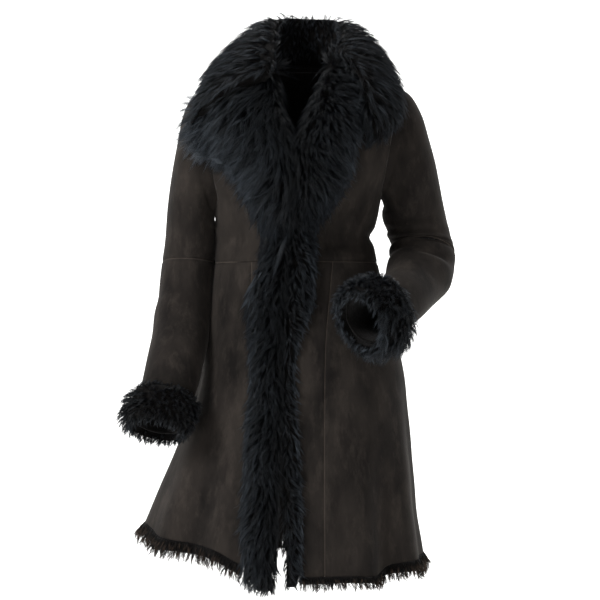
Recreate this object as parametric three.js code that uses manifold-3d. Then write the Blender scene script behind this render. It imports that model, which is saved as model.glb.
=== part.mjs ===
// Shearling coat with fur collar, lapels, cuffs, front edging and hem, in the pose it is worn in.
// Millimetres, +Z up. The wearer faces -Y, so the coat's right side is at -X.
// The origin is at the middle of the shoulders' bearing line, inside the coat.

import * as THREE from 'three';
import { mergeVertices } from 'three/addons/utils/BufferGeometryUtils.js';
import Module from 'manifold-3d';

const wasm = await Module();
wasm.setup();

// Driving dimensions
const WALL = 7; // suede skin with its clipped pile
const SEAM = 0.3; // gap between sewn pieces
const SEAT = 0.9; // fur backing above the suede that it lies on
const HEM_CLEARANCE = 2.6; // between the suede's hem and the fur edging under it
const NECK_Z = 55;
const WAIST_Z = -336;
const COLLAR_BONE_Z = 22;
const FULL_FLARE_Z = -930; // where the skirt's folds are at their deepest
const CHEST_REACH = 0.86; // share of the half width past which the fur goes straight on
const NECK_LEAN = 0.4; // how far the fur leans back for each millimetre above the collar bone
const CUFF_LIFT = 25; // fur of the turned-back cuff, beyond the sleeve
const HEM_FUR = 16; // thickness of the hem edging
const RIGHT = -1;
const LEFT = 1;

// Grid of the walls: columns round the body, rows down it
const COLUMN_ANGLE = 7.5;
const SKIRT_ROWS = 11;
const BODY_SIDES = 56;
const SLEEVE_SIDES = 16;
const EDGING_STEPS = 20;
const LAPEL_STEPS = 12;

// Body sections from the neck to below the hem: centre and half width along X, depths in front of and behind
// the origin, and the roundness of the oval (2 is an ellipse, more is boxier).
const BODY_SECTIONS = [
  { z: 55, centre: 16, halfWidth: 74, front: 52, back: 72, roundness: 2.1 },
  { z: 40, centre: 14, halfWidth: 112, front: 68, back: 84, roundness: 2.2 },
  { z: 22, centre: 10, halfWidth: 154, front: 82, back: 94, roundness: 2.3 },
  { z: 3, centre: 6, halfWidth: 189, front: 94, back: 102, roundness: 2.4 },
  { z: -18, centre: 4, halfWidth: 204, front: 104, back: 108, roundness: 2.5 },
  { z: -50, centre: 2, halfWidth: 204, front: 117, back: 114, roundness: 2.5 },
  { z: -90, centre: 0, halfWidth: 197, front: 130, back: 119, roundness: 2.4 },
  { z: -130, centre: -1, halfWidth: 189, front: 139, back: 120, roundness: 2.3 },
  { z: -167, centre: -3, halfWidth: 180, front: 141, back: 117, roundness: 2.2 },
  { z: -204, centre: -5, halfWidth: 168, front: 134, back: 111, roundness: 2.1 },
  { z: -242, centre: -6, halfWidth: 161, front: 121, back: 103, roundness: 2.1 },
  { z: -284, centre: -9.5, halfWidth: 157.5, front: 109, back: 98, roundness: 2.1 },
  { z: -336, centre: -6.5, halfWidth: 161.5, front: 115, back: 108, roundness: 2.1 },
  { z: -380, centre: -4, halfWidth: 170, front: 121, back: 119, roundness: 2.1 },
  { z: -440, centre: 1, halfWidth: 181, front: 129, back: 133, roundness: 2.1 },
  { z: -500, centre: 4, halfWidth: 192, front: 141, back: 147, roundness: 2.1 },
  { z: -565, centre: 4, halfWidth: 204, front: 155, back: 160, roundness: 2.1 },
  { z: -644, centre: -4, halfWidth: 220, front: 170, back: 174, roundness: 2.1 },
  { z: -744, centre: -16, halfWidth: 242, front: 186, back: 190, roundness: 2.1 },
  { z: -830, centre: -28, halfWidth: 263, front: 198, back: 203, roundness: 2.1 },
  { z: -900, centre: -35, halfWidth: 281, front: 206, back: 212, roundness: 2.1 },
  { z: -980, centre: -41, halfWidth: 300, front: 214, back: 220, roundness: 2.1 },
];

// Hem of the suede by angle round the body: 0 is the front, 90 the wearer's left, 180 the back
const HEM_EDGE = [
  { angle: -180, z: -922 },
  { angle: -150, z: -914 },
  { angle: -120, z: -886 },
  { angle: -96, z: -857 },
  { angle: -80, z: -853 },
  { angle: -60, z: -866 },
  { angle: -40, z: -875 },
  { angle: -26, z: -884 },
  { angle: -15, z: -907 },
  { angle: -5, z: -926 },
  { angle: 8, z: -930 },
  { angle: 25, z: -931 },
  { angle: 40, z: -933 },
  { angle: 50, z: -918 },
  { angle: 65, z: -914 },
  { angle: 90, z: -913 },
  { angle: 120, z: -919 },
  { angle: 150, z: -926 },
  { angle: 180, z: -922 },
];

// Flare folds of the skirt: each is a soft ridge (depth above 0) or trough that starts at a height and grows
// to the hem
const FLARE_FOLDS = [
  { angle: -14, halfAngle: 9, depth: 5, start: -560 },
  { angle: -38, halfAngle: 8, depth: -15, start: -420 },
  { angle: -57, halfAngle: 9, depth: 7, start: -470 },
  { angle: -88, halfAngle: 13, depth: 12, start: -600 },
  { angle: -112, halfAngle: 10, depth: -13, start: -500 },
  { angle: -133, halfAngle: 10, depth: 9, start: -440 },
  { angle: -156, halfAngle: 9, depth: -14, start: -460 },
  { angle: 178, halfAngle: 12, depth: 8, start: -520 },
  { angle: 152, halfAngle: 9, depth: -12, start: -400 },
  { angle: 128, halfAngle: 11, depth: 8, start: -520 },
  { angle: 104, halfAngle: 9, depth: -11, start: -480 },
  { angle: 78, halfAngle: 7, depth: -7, start: -520 },
  { angle: 62, halfAngle: 8, depth: 9, start: -500 },
  { angle: 46, halfAngle: 7, depth: -18, start: -640 },
  { angle: 33, halfAngle: 7, depth: 8, start: -600 },
  { angle: 4, halfAngle: 6, depth: -5, start: -450 },
];

// Short creases across the bodice and the top of the skirt
const CREASES = [
  { angle: 84, z: -284, halfAngle: 30, halfHeight: 12, depth: -9 },
  { angle: 36, z: -303, halfAngle: 26, halfHeight: 12, depth: -5 },
  { angle: -56, z: -292, halfAngle: 22, halfHeight: 14, depth: -5 },
  { angle: -150, z: -290, halfAngle: 30, halfHeight: 15, depth: -6 },
  { angle: 140, z: -298, halfAngle: 30, halfHeight: 14, depth: -6 },
  { angle: 2, z: -400, halfAngle: 7, halfHeight: 50, depth: -4 },
];

// Front opening: where each front's suede ends along X, and half the gap between the furs over it
const OPENING = [
  { z: 55, right: -42, left: 66, furGap: 0.5 },
  { z: 22, right: -40, left: 52, furGap: 0.5 },
  { z: -18, right: -34, left: 34, furGap: 0.5 },
  { z: -60, right: -22, left: 12, furGap: 0.5 },
  { z: -95, right: -12, left: -2, furGap: 0.5 },
  { z: -140, right: -15, left: -5, furGap: 0.5 },
  { z: -240, right: -21, left: -11, furGap: 0.5 },
  { z: -336, right: -29, left: -19, furGap: 0.6 },
  { z: -500, right: -41, left: -25, furGap: 0.8 },
  { z: -600, right: -46, left: -22, furGap: 1.5 },
  { z: -700, right: -54, left: -15, furGap: 3.5 },
  { z: -820, right: -62, left: -10, furGap: 7 },
  { z: -980, right: -66, left: -12, furGap: 13 },
];

// Seams between the narrow skirt fronts and the skirt sides, along X
const SKIRT_SEAMS = [
  { z: -336, right: -94, left: 64 },
  { z: -520, right: -95, left: 49 },
  { z: -980, right: -101, left: 47 },
];

// Fur front edging: how far it reaches along X and how thick it is
const EDGING_RIGHT = [
  { z: -236, outer: -84, rise: 36 },
  { z: -290, outer: -74, rise: 34 },
  { z: -340, outer: -76, rise: 32 },
  { z: -405, outer: -102, rise: 32 },
  { z: -472, outer: -97, rise: 30 },
  { z: -567, outer: -93, rise: 28 },
  { z: -660, outer: -101, rise: 28 },
  { z: -750, outer: -105, rise: 28 },
  { z: -870, outer: -108, rise: 28 },
  { z: -922, outer: -104, rise: 26 },
  { z: -954, outer: -82, rise: 16 },
];
const EDGING_LEFT = [
  { z: -250, outer: 36, rise: 34 },
  { z: -290, outer: 28, rise: 30 },
  { z: -340, outer: 27, rise: 28 },
  { z: -410, outer: 23, rise: 26 },
  { z: -460, outer: 6, rise: 22 },
  { z: -510, outer: -10, rise: 17 },
  { z: -600, outer: -12, rise: 15 },
  { z: -700, outer: -4, rise: 14 },
  { z: -820, outer: 1, rise: 14 },
  { z: -915, outer: 0, rise: 14 },
  { z: -948, outer: -5, rise: 9 },
];

// Fur lapels, a row for each section from the front edge to the lapel's outer edge
const LAPEL_RIGHT = [
  { innerX: -15.5, innerZ: -235.5, outerX: -84, outerZ: -235.5, rise: 36 },
  { innerX: -13, innerZ: -190, outerX: -102, outerZ: -200, rise: 40 },
  { innerX: -11, innerZ: -140, outerX: -118, outerZ: -172, rise: 44 },
  { innerX: -9, innerZ: -100, outerX: -146, outerZ: -140, rise: 46 },
  { innerX: -20, innerZ: -62, outerX: -180, outerZ: -124, rise: 46 },
  { innerX: -32, innerZ: -22, outerX: -207, outerZ: -106, rise: 44 },
  { innerX: -38, innerZ: 18, outerX: -217, outerZ: -76, rise: 40 },
  { innerX: -40, innerZ: 48, outerX: -212, outerZ: -44, rise: 36 },
];
const LAPEL_LEFT = [
  { innerX: -14.5, innerZ: -249.5, outerX: 38, outerZ: -249.5, rise: 34 },
  { innerX: -12, innerZ: -210, outerX: 62, outerZ: -220, rise: 40 },
  { innerX: -9, innerZ: -160, outerX: 86, outerZ: -178, rise: 46 },
  { innerX: -6, innerZ: -110, outerX: 104, outerZ: -126, rise: 52 },
  { innerX: 10, innerZ: -66, outerX: 112, outerZ: -78, rise: 56 },
  { innerX: 28, innerZ: -26, outerX: 118, outerZ: -36, rise: 56 },
  { innerX: 42, innerZ: 12, outerX: 124, outerZ: 2, rise: 54 },
  { innerX: 50, innerZ: 54, outerX: 128, outerZ: 36, rise: 50 },
];

// Fur edging's section, from the outer edge over the fur to the opening and back round the suede's edge.
// across is the share of the way from the opening to the outer edge, up the share of the fur's thickness.
const FUR_PROFILE = [
  { across: 1, up: 0 },
  { across: 1.0, up: 0.25 },
  { across: 0.9, up: 0.62 },
  { across: 0.7, up: 0.9 },
  { across: 0.45, up: 1 },
  { across: 0.2, up: 0.9 },
  { across: 0.04, up: 0.66 },
  { across: 0, up: 0.34 },
];
const FUR_UNDERSIDE = [0.03, 0.35, 0.7];

// Collar sections from the wearer's right front, round the back, to the left front: the seam at the neck, the
// crest that the collar folds over at, and the tip of the fall, with the fall's thickness
const COLLAR_SECTIONS = [
  { seam: [-36, -100, 26], crest: [-56, -142, 34], tip: [-214, -106, -58], thick: 58 },
  { seam: [-46, -66, 50], crest: [-50, -98, 84], tip: [-212, -78, -26], thick: 56 },
  { seam: [-56, -28, 62], crest: [-50, -44, 126], tip: [-196, -30, 16], thick: 50 },
  { seam: [-58, 14, 64], crest: [-46, 16, 158], tip: [-186, 34, 26], thick: 46 },
  { seam: [-38, 60, 64], crest: [-30, 62, 172], tip: [-128, 128, 12], thick: 44 },
  { seam: [16, 80, 64], crest: [18, 82, 174], tip: [18, 172, -8], thick: 42 },
  { seam: [70, 60, 64], crest: [70, 62, 168], tip: [160, 122, 12], thick: 44 },
  { seam: [90, 14, 64], crest: [88, 14, 150], tip: [191, 30, 24], thick: 48 },
  { seam: [86, -28, 60], crest: [84, -48, 116], tip: [199, -30, 4], thick: 52 },
  { seam: [66, -62, 48], crest: [76, -100, 84], tip: [206, -84, -38], thick: 60 },
  { seam: [78, -80, 28], crest: [98, -124, 50], tip: [176, -118, -86], thick: 58 },
  { seam: [112, -80, 14], crest: [116, -122, 18], tip: [142, -128, -104], thick: 48 },
];
const COLLAR_STATIONS = 28;

// Section of the collar's fur round its fall: share of the way from the crest to the tip, and height above the
// line between them as a share of its thickness
const COLLAR_PROFILE = [
  { along: 0, up: -0.2 },
  { along: 0.04, up: 0.06 },
  { along: 0.2, up: 0.36 },
  { along: 0.48, up: 0.46 },
  { along: 0.78, up: 0.34 },
  { along: 0.98, up: -0.05 },
  { along: 1, up: -0.45 },
  { along: 0.9, up: -0.72 },
  { along: 0.6, up: -0.7 },
  { along: 0.3, up: -0.72 },
];
const COLLAR_STAND = 16; // thickness of the fur at the neck seam

// Sleeve sections from the armhole to the wrist: the outermost and innermost point of each, and its half depth
const SLEEVE_RIGHT = [
  { outX: -150, outY: 0, outZ: 2, inX: -140, inY: 0, inZ: -224, halfDepth: 60 },
  { outX: -186, outY: 0, outZ: 8, inX: -161, inY: 0, inZ: -234, halfDepth: 66 },
  { outX: -213, outY: 0, outZ: -4, inX: -169, inY: 0, inZ: -242, halfDepth: 68 },
  { outX: -233, outY: 0, outZ: -40, inX: -171, inY: 1, inZ: -248, halfDepth: 68 },
  { outX: -246, outY: 0, outZ: -104, inX: -170, inY: 2, inZ: -254, halfDepth: 66 },
  { outX: -257, outY: 2, outZ: -165, inX: -169, inY: 3, inZ: -262, halfDepth: 63 },
  { outX: -265, outY: 4, outZ: -225, inX: -168.5, inY: 4, inZ: -277, halfDepth: 60 },
  { outX: -270, outY: 5, outZ: -290, inX: -168.5, inY: 5, inZ: -305, halfDepth: 58 },
  { outX: -276, outY: 4, outZ: -334, inX: -169.5, inY: 4, inZ: -338, halfDepth: 57 },
  { outX: -282, outY: -10, outZ: -392, inX: -177, inY: -12, inZ: -404, halfDepth: 56 },
  { outX: -291, outY: -34, outZ: -450, inX: -183, inY: -38, inZ: -466, halfDepth: 55 },
  { outX: -299, outY: -76, outZ: -524, inX: -195, inY: -81, inZ: -540, halfDepth: 54 },
  { outX: -310, outY: -108, outZ: -588, inX: -211, inY: -113, inZ: -604, halfDepth: 52 },
  { outX: -325, outY: -140, outZ: -647, inX: -230, inY: -145, inZ: -665, halfDepth: 50 },
  { outX: -333, outY: -156, outZ: -680, inX: -239, inY: -161, inZ: -698, halfDepth: 49 },
];
const SLEEVE_LEFT = [
  { outX: 150, outY: 0, outZ: 4, inX: 138, inY: 0, inZ: -194, halfDepth: 60 },
  { outX: 192, outY: 0, outZ: 11, inX: 156, inY: 0, inZ: -203, halfDepth: 66 },
  { outX: 219, outY: 2, outZ: 0, inX: 163, inY: 2, inZ: -209, halfDepth: 68 },
  { outX: 240, outY: 4, outZ: -34, inX: 166, inY: 3, inZ: -214, halfDepth: 68 },
  { outX: 254, outY: 8, outZ: -78, inX: 168, inY: 5, inZ: -219, halfDepth: 67 },
  { outX: 268, outY: 12, outZ: -126, inX: 169, inY: 8, inZ: -227, halfDepth: 66 },
  { outX: 279, outY: 18, outZ: -175, inX: 171, inY: 12, inZ: -240, halfDepth: 64 },
  { outX: 288, outY: 25, outZ: -217, inX: 176, inY: 17, inZ: -256, halfDepth: 62 },
  { outX: 299, outY: 33, outZ: -264, inX: 182, inY: 18, inZ: -278, halfDepth: 61 },
  { outX: 309, outY: 38, outZ: -312, inX: 186, inY: 8, inZ: -296, halfDepth: 60 },
  { outX: 306, outY: 22, outZ: -356, inX: 186, inY: -12, inZ: -310, halfDepth: 58 },
  { outX: 290, outY: -8, outZ: -394, inX: 182, inY: -34, inZ: -326, halfDepth: 56 },
  { outX: 259, outY: -75, outZ: -421, inX: 172, inY: -62, inZ: -356, halfDepth: 54 },
  { outX: 230, outY: -131, outZ: -444, inX: 149, inY: -111, inZ: -381, halfDepth: 52 },
  { outX: 193, outY: -180, outZ: -465, inX: 121, inY: -155, inZ: -400, halfDepth: 50 },
  { outX: 153, outY: -222, outZ: -480, inX: 86, inY: -191, inZ: -416, halfDepth: 48 },
  { outX: 126, outY: -246, outZ: -488, inX: 61, inY: -215, inZ: -426, halfDepth: 47 },
];

// Each sleeve's elbow seam, its end, and the start and end of its cuff, all counted in section rows. spread is
// how much further the cuff's fur stands out along the section's width, steps how many rows of facets it has.
const SLEEVES = [
  {
    side: 'right', rows: SLEEVE_RIGHT, creases: 'hanging', elbow: 8, end: 12.8,
    cuffStart: 11.98, cuffEnd: 13.06, spread: 0.95, steps: 21,
  },
  {
    side: 'left', rows: SLEEVE_LEFT, creases: 'bent', elbow: 9.3, end: 14.85,
    cuffStart: 13.45, cuffEnd: 15.2, spread: 1.6, steps: 29,
  },
];
const SEAM_ROWS = 0.005; // half the gap at the elbow seam, in section rows
const PATH_ROWS = 0.2; // how far apart sections are compared to find the way a sleeve or the collar runs

// Creases of the sleeves, in section rows along them: deepest at an angle round the sleeve, where 0 is the
// outer edge and 180 the inner one
const SLEEVE_CREASES = {
  bent: [
    { row: 7.5, halfRows: 0.32, angle: 170, halfAngle: 80, depth: -6 },
    { row: 8.15, halfRows: 0.3, angle: 185, halfAngle: 85, depth: 5 },
    { row: 8.85, halfRows: 0.3, angle: 175, halfAngle: 90, depth: -8 },
    { row: 9.5, halfRows: 0.32, angle: 180, halfAngle: 85, depth: 5 },
    { row: 10.2, halfRows: 0.34, angle: 175, halfAngle: 80, depth: -7 },
    { row: 11.1, halfRows: 0.4, angle: 40, halfAngle: 60, depth: 4 },
  ],
  hanging: [
    { row: 6.4, halfRows: 0.4, angle: 110, halfAngle: 45, depth: -4 },
    { row: 7.4, halfRows: 0.35, angle: 250, halfAngle: 45, depth: -4 },
    { row: 9.3, halfRows: 0.35, angle: 20, halfAngle: 60, depth: -3 },
    { row: 10.4, halfRows: 0.4, angle: 350, halfAngle: 60, depth: -3 },
  ],
};

// Turned-back cuff, from where it starts on the sleeve to past the sleeve's end: share of the way, and of the
// fur's lift
const CUFF_PROFILE = [
  { along: 0, lift: 0.1 },
  { along: 0.03, lift: 0.5 },
  { along: 0.15, lift: 0.86 },
  { along: 0.38, lift: 1 },
  { along: 0.62, lift: 1 },
  { along: 0.85, lift: 0.86 },
  { along: 0.97, lift: 0.5 },
  { along: 1, lift: 0.1 },
];

// Hem edging by angle: how far its fur hangs below the suede
const HEM_DROP = [
  { angle: -180, drop: 30 },
  { angle: -130, drop: 32 },
  { angle: -95, drop: 28 },
  { angle: -82, drop: 38 },
  { angle: -60, drop: 38 },
  { angle: -38, drop: 34 },
  { angle: -22, drop: 32 },
  { angle: 10, drop: 24 },
  { angle: 36, drop: 22 },
  { angle: 52, drop: 32 },
  { angle: 80, drop: 36 },
  { angle: 100, drop: 34 },
  { angle: 140, drop: 30 },
  { angle: 180, drop: 30 },
];
// Section of the hem edging: out is the share of its thickness from the suede's outer side inwards, and down
// the share of its drop
const HEM_PROFILE = [
  { out: -0.12, down: 0 },
  { out: -0.28, down: 0.3 },
  { out: -0.2, down: 0.75 },
  { out: 0.2, down: 1 },
  { out: 0.62, down: 0.86 },
  { out: 0.75, down: 0.4 },
  { out: 0.5, down: 0 },
];
const HEM_END_GAP = 0.05; // half the gap between two lengths of hem edging, in degrees
const EDGING_END_GAP = 0.4; // gap between the hem edging and the front edging, in degrees
const EDGING_END_Z = -900;

// Colours and finishes
const SUEDE = new THREE.MeshStandardMaterial({ color: 0x342e2a, roughness: 0.95, metalness: 0 });
const SUEDE_SLEEVE = new THREE.MeshStandardMaterial({ color: 0x312e2d, roughness: 0.95, metalness: 0 });
const FUR = new THREE.MeshStandardMaterial({ color: 0x16181b, roughness: 0.8, metalness: 0 });

const lerp = (a, b, t) => a + (b - a) * t;
const radians = (degrees) => (degrees * Math.PI) / 180;
const signedPower = (x, power) => Math.sign(x) * Math.abs(x) ** power;
const bump = (distance, halfWidth) => Math.exp(-((distance / halfWidth) ** 2));

function smoothstep(low, high, x) {
  const t = Math.min(Math.max((x - low) / (high - low), 0), 1);
  return t * t * (3 - 2 * t);
}

// Smooth curve through a table's rows, along one of its columns
function readTable(rows, key, at) {
  const rising = rows[rows.length - 1][key] > rows[0][key];
  let i = 0;
  while (i < rows.length - 2 && (rising ? at > rows[i + 1][key] : at < rows[i + 1][key])) i += 1;
  const [low, high] = [rows[i], rows[i + 1]];
  const [before, after] = [rows[Math.max(i - 1, 0)], rows[Math.min(i + 2, rows.length - 1)]];
  const span = high[key] - low[key];
  const t = Math.min(Math.max((at - low[key]) / span, 0), 1);
  const row = {};
  for (const column of Object.keys(low)) {
    const slopeLow = ((high[column] - before[column]) / (high[key] - before[key])) * span;
    const slopeHigh = ((after[column] - low[column]) / (after[key] - low[key])) * span;
    const [t2, t3] = [t * t, t * t * t];
    row[column] = low[column] * (2 * t3 - 3 * t2 + 1) + slopeLow * (t3 - 2 * t2 + t)
      + high[column] * (3 * t2 - 2 * t3) + slopeHigh * (t3 - t2);
  }
  row[key] = at;
  return row;
}

// The same by row number, for tables with no column that only rises or only falls
function readRows(rows, at) {
  const numbered = rows.map((row, index) => ({ index, ...row }));
  return readTable(numbered, 'index', at);
}

// Angle between two directions round the body, from -180 to 180 degrees
function angleBetween(a, b) {
  return ((((a - b) % 360) + 540) % 360) - 180;
}

// How far the cloth stands out of the plain section, for the folds and creases
function foldOffset(angle, z) {
  let offset = 0;
  for (const fold of FLARE_FOLDS) {
    const growth = smoothstep(fold.start, FULL_FLARE_Z, z);
    offset += fold.depth * growth * bump(angleBetween(angle, fold.angle), fold.halfAngle);
  }
  for (const crease of CREASES) {
    const across = bump(angleBetween(angle, crease.angle), crease.halfAngle);
    offset += crease.depth * across * bump(z - crease.z, crease.halfHeight);
  }
  return offset;
}

// Point on the coat's outer surface, at an angle in degrees round the body and a height, raised by a distance
function bodyPoint(angle, z, raise = 0) {
  const section = readTable(BODY_SECTIONS, 'z', z);
  const [across, along] = [Math.sin(radians(angle)), Math.cos(radians(angle))];
  const depth = along > 0 ? section.front : section.back;
  const x = section.halfWidth * signedPower(across, 2 / section.roundness);
  const y = -depth * signedPower(along, 2 / section.roundness);
  const outward = new THREE.Vector2(x / section.halfWidth ** 2, y / depth ** 2).normalize();
  const out = foldOffset(angle, z) + raise;
  return new THREE.Vector3(section.centre + x + outward.x * out, y + outward.y * out, z);
}

// Angle round the body at which the front has a given x
function angleAtX(x, z) {
  const section = readTable(BODY_SECTIONS, 'z', z);
  const share = Math.min(Math.max((x - section.centre) / section.halfWidth, -1), 1);
  return THREE.MathUtils.radToDeg(Math.asin(signedPower(share, section.roundness / 2)));
}

// Point in front of the coat at x and z, raised off the suede. Past the chest's side the front goes straight
// on, and above the collar bone it leans back towards the neck.
function frontPoint(x, z, raise) {
  const held = Math.min(z, COLLAR_BONE_Z);
  const section = readTable(BODY_SECTIONS, 'z', held);
  const reach = section.halfWidth * CHEST_REACH;
  const heldX = Math.min(Math.max(x, section.centre - reach), section.centre + reach);
  const surface = bodyPoint(angleAtX(heldX, held), held);
  return new THREE.Vector3(x, surface.y - raise + (z - held) * NECK_LEAN, z);
}

const hemHeight = (angle) => readTable(HEM_EDGE, 'angle', angle).z;

// Geometry from points and triangles
function makeGeometry(points, triangles) {
  const geometry = new THREE.BufferGeometry();
  const numbers = points.flatMap((p) => [p.x, p.y, p.z]);
  geometry.setAttribute('position', new THREE.Float32BufferAttribute(numbers, 3));
  geometry.setIndex(triangles.flat());
  return geometry;
}

// A wall of cloth: pointAt(u, v) gives its outer side, and its inner side lies one thickness behind, level
// with it along the bottom edge where levelled is 1
function wallGeometry(pointAt, columns, rows, levelled) {
  const step = 0.01;
  const [outer, inner] = [[], []];
  for (let j = 0; j <= rows; j += 1) {
    for (let i = 0; i <= columns; i += 1) {
      const [u, v] = [i / columns, j / rows];
      const alongU = pointAt(u + step, v).sub(pointAt(u - step, v));
      const alongV = pointAt(u, v + step).sub(pointAt(u, v - step));
      const normal = alongV.cross(alongU);
      normal.z *= 1 - levelled * v;
      const point = pointAt(u, v);
      outer.push(point);
      inner.push(point.clone().addScaledVector(normal.normalize(), -WALL));
    }
  }
  const width = columns + 1;
  const count = outer.length;
  const triangles = [];
  const quad = (a, b, c, d) => triangles.push([a, b, c], [a, c, d]);
  for (let j = 0; j < rows; j += 1) {
    for (let i = 0; i < columns; i += 1) {
      const a = j * width + i;
      quad(a, a + width, a + width + 1, a + 1);
      quad(count + a, count + a + 1, count + a + width + 1, count + a + width);
    }
  }
  for (let i = 0; i < columns; i += 1) {
    const bottom = rows * width + i;
    quad(i + 1, count + i + 1, count + i, i);
    quad(bottom, count + bottom, count + bottom + 1, bottom + 1);
  }
  for (let j = 0; j < rows; j += 1) {
    const [a, b] = [j * width, (j + 1) * width];
    quad(a, count + a, count + b, b);
    quad(b + columns, count + b + columns, count + a + columns, a + columns);
  }
  return makeGeometry([...outer, ...inner], triangles);
}

// A solid through closed loops of points, with flat ends; a ring when its last loop joins its first
function loftGeometry(loops, joined = false) {
  const sides = loops[0].length;
  const points = loops.flat();
  const triangles = [];
  const stretches = joined ? loops.length : loops.length - 1;
  for (let k = 0; k < stretches; k += 1) {
    const next = (k + 1) % loops.length;
    for (let i = 0; i < sides; i += 1) {
      const j = (i + 1) % sides;
      const [a, b, c, d] = [k * sides + i, k * sides + j, next * sides + j, next * sides + i];
      triangles.push([a, b, c], [a, c, d]);
    }
  }
  if (!joined) {
    const last = (loops.length - 1) * sides;
    for (const [loop, start, turned] of [[loops[0], 0, true], [loops[loops.length - 1], last, false]]) {
      for (const [a, b, c] of capTriangles(loop)) {
        triangles.push(turned ? [start + a, start + c, start + b] : [start + a, start + b, start + c]);
      }
    }
  }
  return makeGeometry(points, triangles);
}

// Triangles that close a loop, found in the plane that it lies nearest to and turned the way the loop runs
function capTriangles(loop) {
  const normal = new THREE.Vector3();
  loop.forEach((point, i) => {
    const next = loop[(i + 1) % loop.length];
    normal.x += (point.y - next.y) * (point.z + next.z);
    normal.y += (point.z - next.z) * (point.x + next.x);
    normal.z += (point.x - next.x) * (point.y + next.y);
  });
  const turn = new THREE.Quaternion().setFromUnitVectors(normal.normalize(), new THREE.Vector3(0, 0, 1));
  const flat = loop.map((point) => {
    const turned = point.clone().applyQuaternion(turn);
    return new THREE.Vector2(turned.x, turned.y);
  });
  return THREE.ShapeUtils.triangulateShape(flat, []);
}

// Closed solid from a geometry, turned right side out
function toSolid(geometry) {
  const bare = new THREE.BufferGeometry();
  bare.setAttribute('position', geometry.getAttribute('position'));
  bare.setIndex(geometry.getIndex());
  const merged = mergeVertices(bare, 1e-4);
  const vertProperties = Float32Array.from(merged.getAttribute('position').array);
  const triVerts = Uint32Array.from(merged.getIndex().array);
  let volume = 0;
  for (let t = 0; t < triVerts.length; t += 3) {
    const [a, b, c] = [0, 1, 2].map((k) => new THREE.Vector3().fromArray(vertProperties, triVerts[t + k] * 3));
    volume += a.dot(b.cross(c));
  }
  if (volume < 0) {
    for (let t = 0; t < triVerts.length; t += 3) {
      [triVerts[t], triVerts[t + 1]] = [triVerts[t + 1], triVerts[t]];
    }
  }
  return new wasm.Manifold(new wasm.Mesh({ numProp: 3, vertProperties, triVerts }));
}

// The largest body of a solid, as a geometry
function fromSolid(solid) {
  const largest = solid.decompose().sort((a, b) => b.volume() - a.volume())[0];
  const mesh = largest.getMesh();
  const geometry = new THREE.BufferGeometry();
  geometry.setAttribute('position', new THREE.Float32BufferAttribute(mesh.vertProperties, 3));
  geometry.setIndex(new THREE.Uint32BufferAttribute(mesh.triVerts, 1));
  return geometry;
}

const group = new THREE.Group();

function addMesh(name, solid, material) {
  const mesh = new THREE.Mesh(fromSolid(solid), material);
  mesh.name = name;
  group.add(mesh);
}

// Sleeve section: a loop of points at a row number, moved out of the sleeve's surface by a distance, and by a
// multiple of it along the section's width
function sleeveLoop(sleeve, at, raise = 0, spread = 1) {
  const section = readRows(sleeve.rows, at);
  const [before, after] = [readRows(sleeve.rows, at - PATH_ROWS), readRows(sleeve.rows, at + PATH_ROWS)];
  const outer = new THREE.Vector3(section.outX, section.outY, section.outZ);
  const inner = new THREE.Vector3(section.inX, section.inY, section.inZ);
  const centre = outer.clone().add(inner).multiplyScalar(0.5);
  const across = outer.clone().sub(centre);
  const halfWidth = across.length();
  across.normalize();
  const path = new THREE.Vector3(
    after.outX + after.inX - before.outX - before.inX,
    after.outY + after.inY - before.outY - before.inY,
    after.outZ + after.inZ - before.outZ - before.inZ,
  );
  const deep = path.cross(across).normalize();
  const loop = [];
  for (let i = 0; i < SLEEVE_SIDES; i += 1) {
    const angle = (360 * i) / SLEEVE_SIDES;
    let out = raise;
    for (const crease of SLEEVE_CREASES[sleeve.creases]) {
      const round = bump(angleBetween(angle, crease.angle), crease.halfAngle);
      out += crease.depth * round * bump(at - crease.row, crease.halfRows);
    }
    loop.push(centre.clone()
      .addScaledVector(across, (halfWidth + out + raise * (spread - 1)) * Math.cos(radians(angle)))
      .addScaledVector(deep, (section.halfDepth + out) * Math.sin(radians(angle))));
  }
  return loop;
}

// Rows of loops along a sleeve, on its outer or inner side
function sleeveLoops(sleeve, from, to, raise) {
  const steps = Math.max(Math.round(((to - from) / sleeve.rows.length) * sleeve.steps), 2);
  const loops = [];
  for (let k = 0; k <= steps; k += 1) loops.push(sleeveLoop(sleeve, lerp(from, to, k / steps), raise));
  return loops;
}

// Tube wall between outer and inner loops
function tubeGeometry(outerLoops, innerLoops) {
  const sections = outerLoops[0].map((_, i) => [
    ...outerLoops.map((loop) => loop[i]),
    ...innerLoops.map((loop) => loop[i]).reverse(),
  ]);
  return loftGeometry(sections, true);
}

// Heights of the rows of the bodice, closer together where the shoulders slope
const BODICE_ROWS = [
  NECK_Z, 46, 34, 19, 0, -24, -56, -92, -130, -168, -206, -244, -270, -290, -312, WAIST_Z,
];
const HIP_ROWS = [-380, -440];

const openingAt = (side, z) => readTable(OPENING, 'z', z)[side];

// Angle of the suede's front edge at a height
const edgeAngle = (side, z) => angleAtX(openingAt(side, z), z);

// Half a seam gap as an angle round the body
const seamAngle = (z) => THREE.MathUtils.radToDeg(SEAM / 2 / readTable(BODY_SECTIONS, 'z', z).halfWidth);

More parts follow.
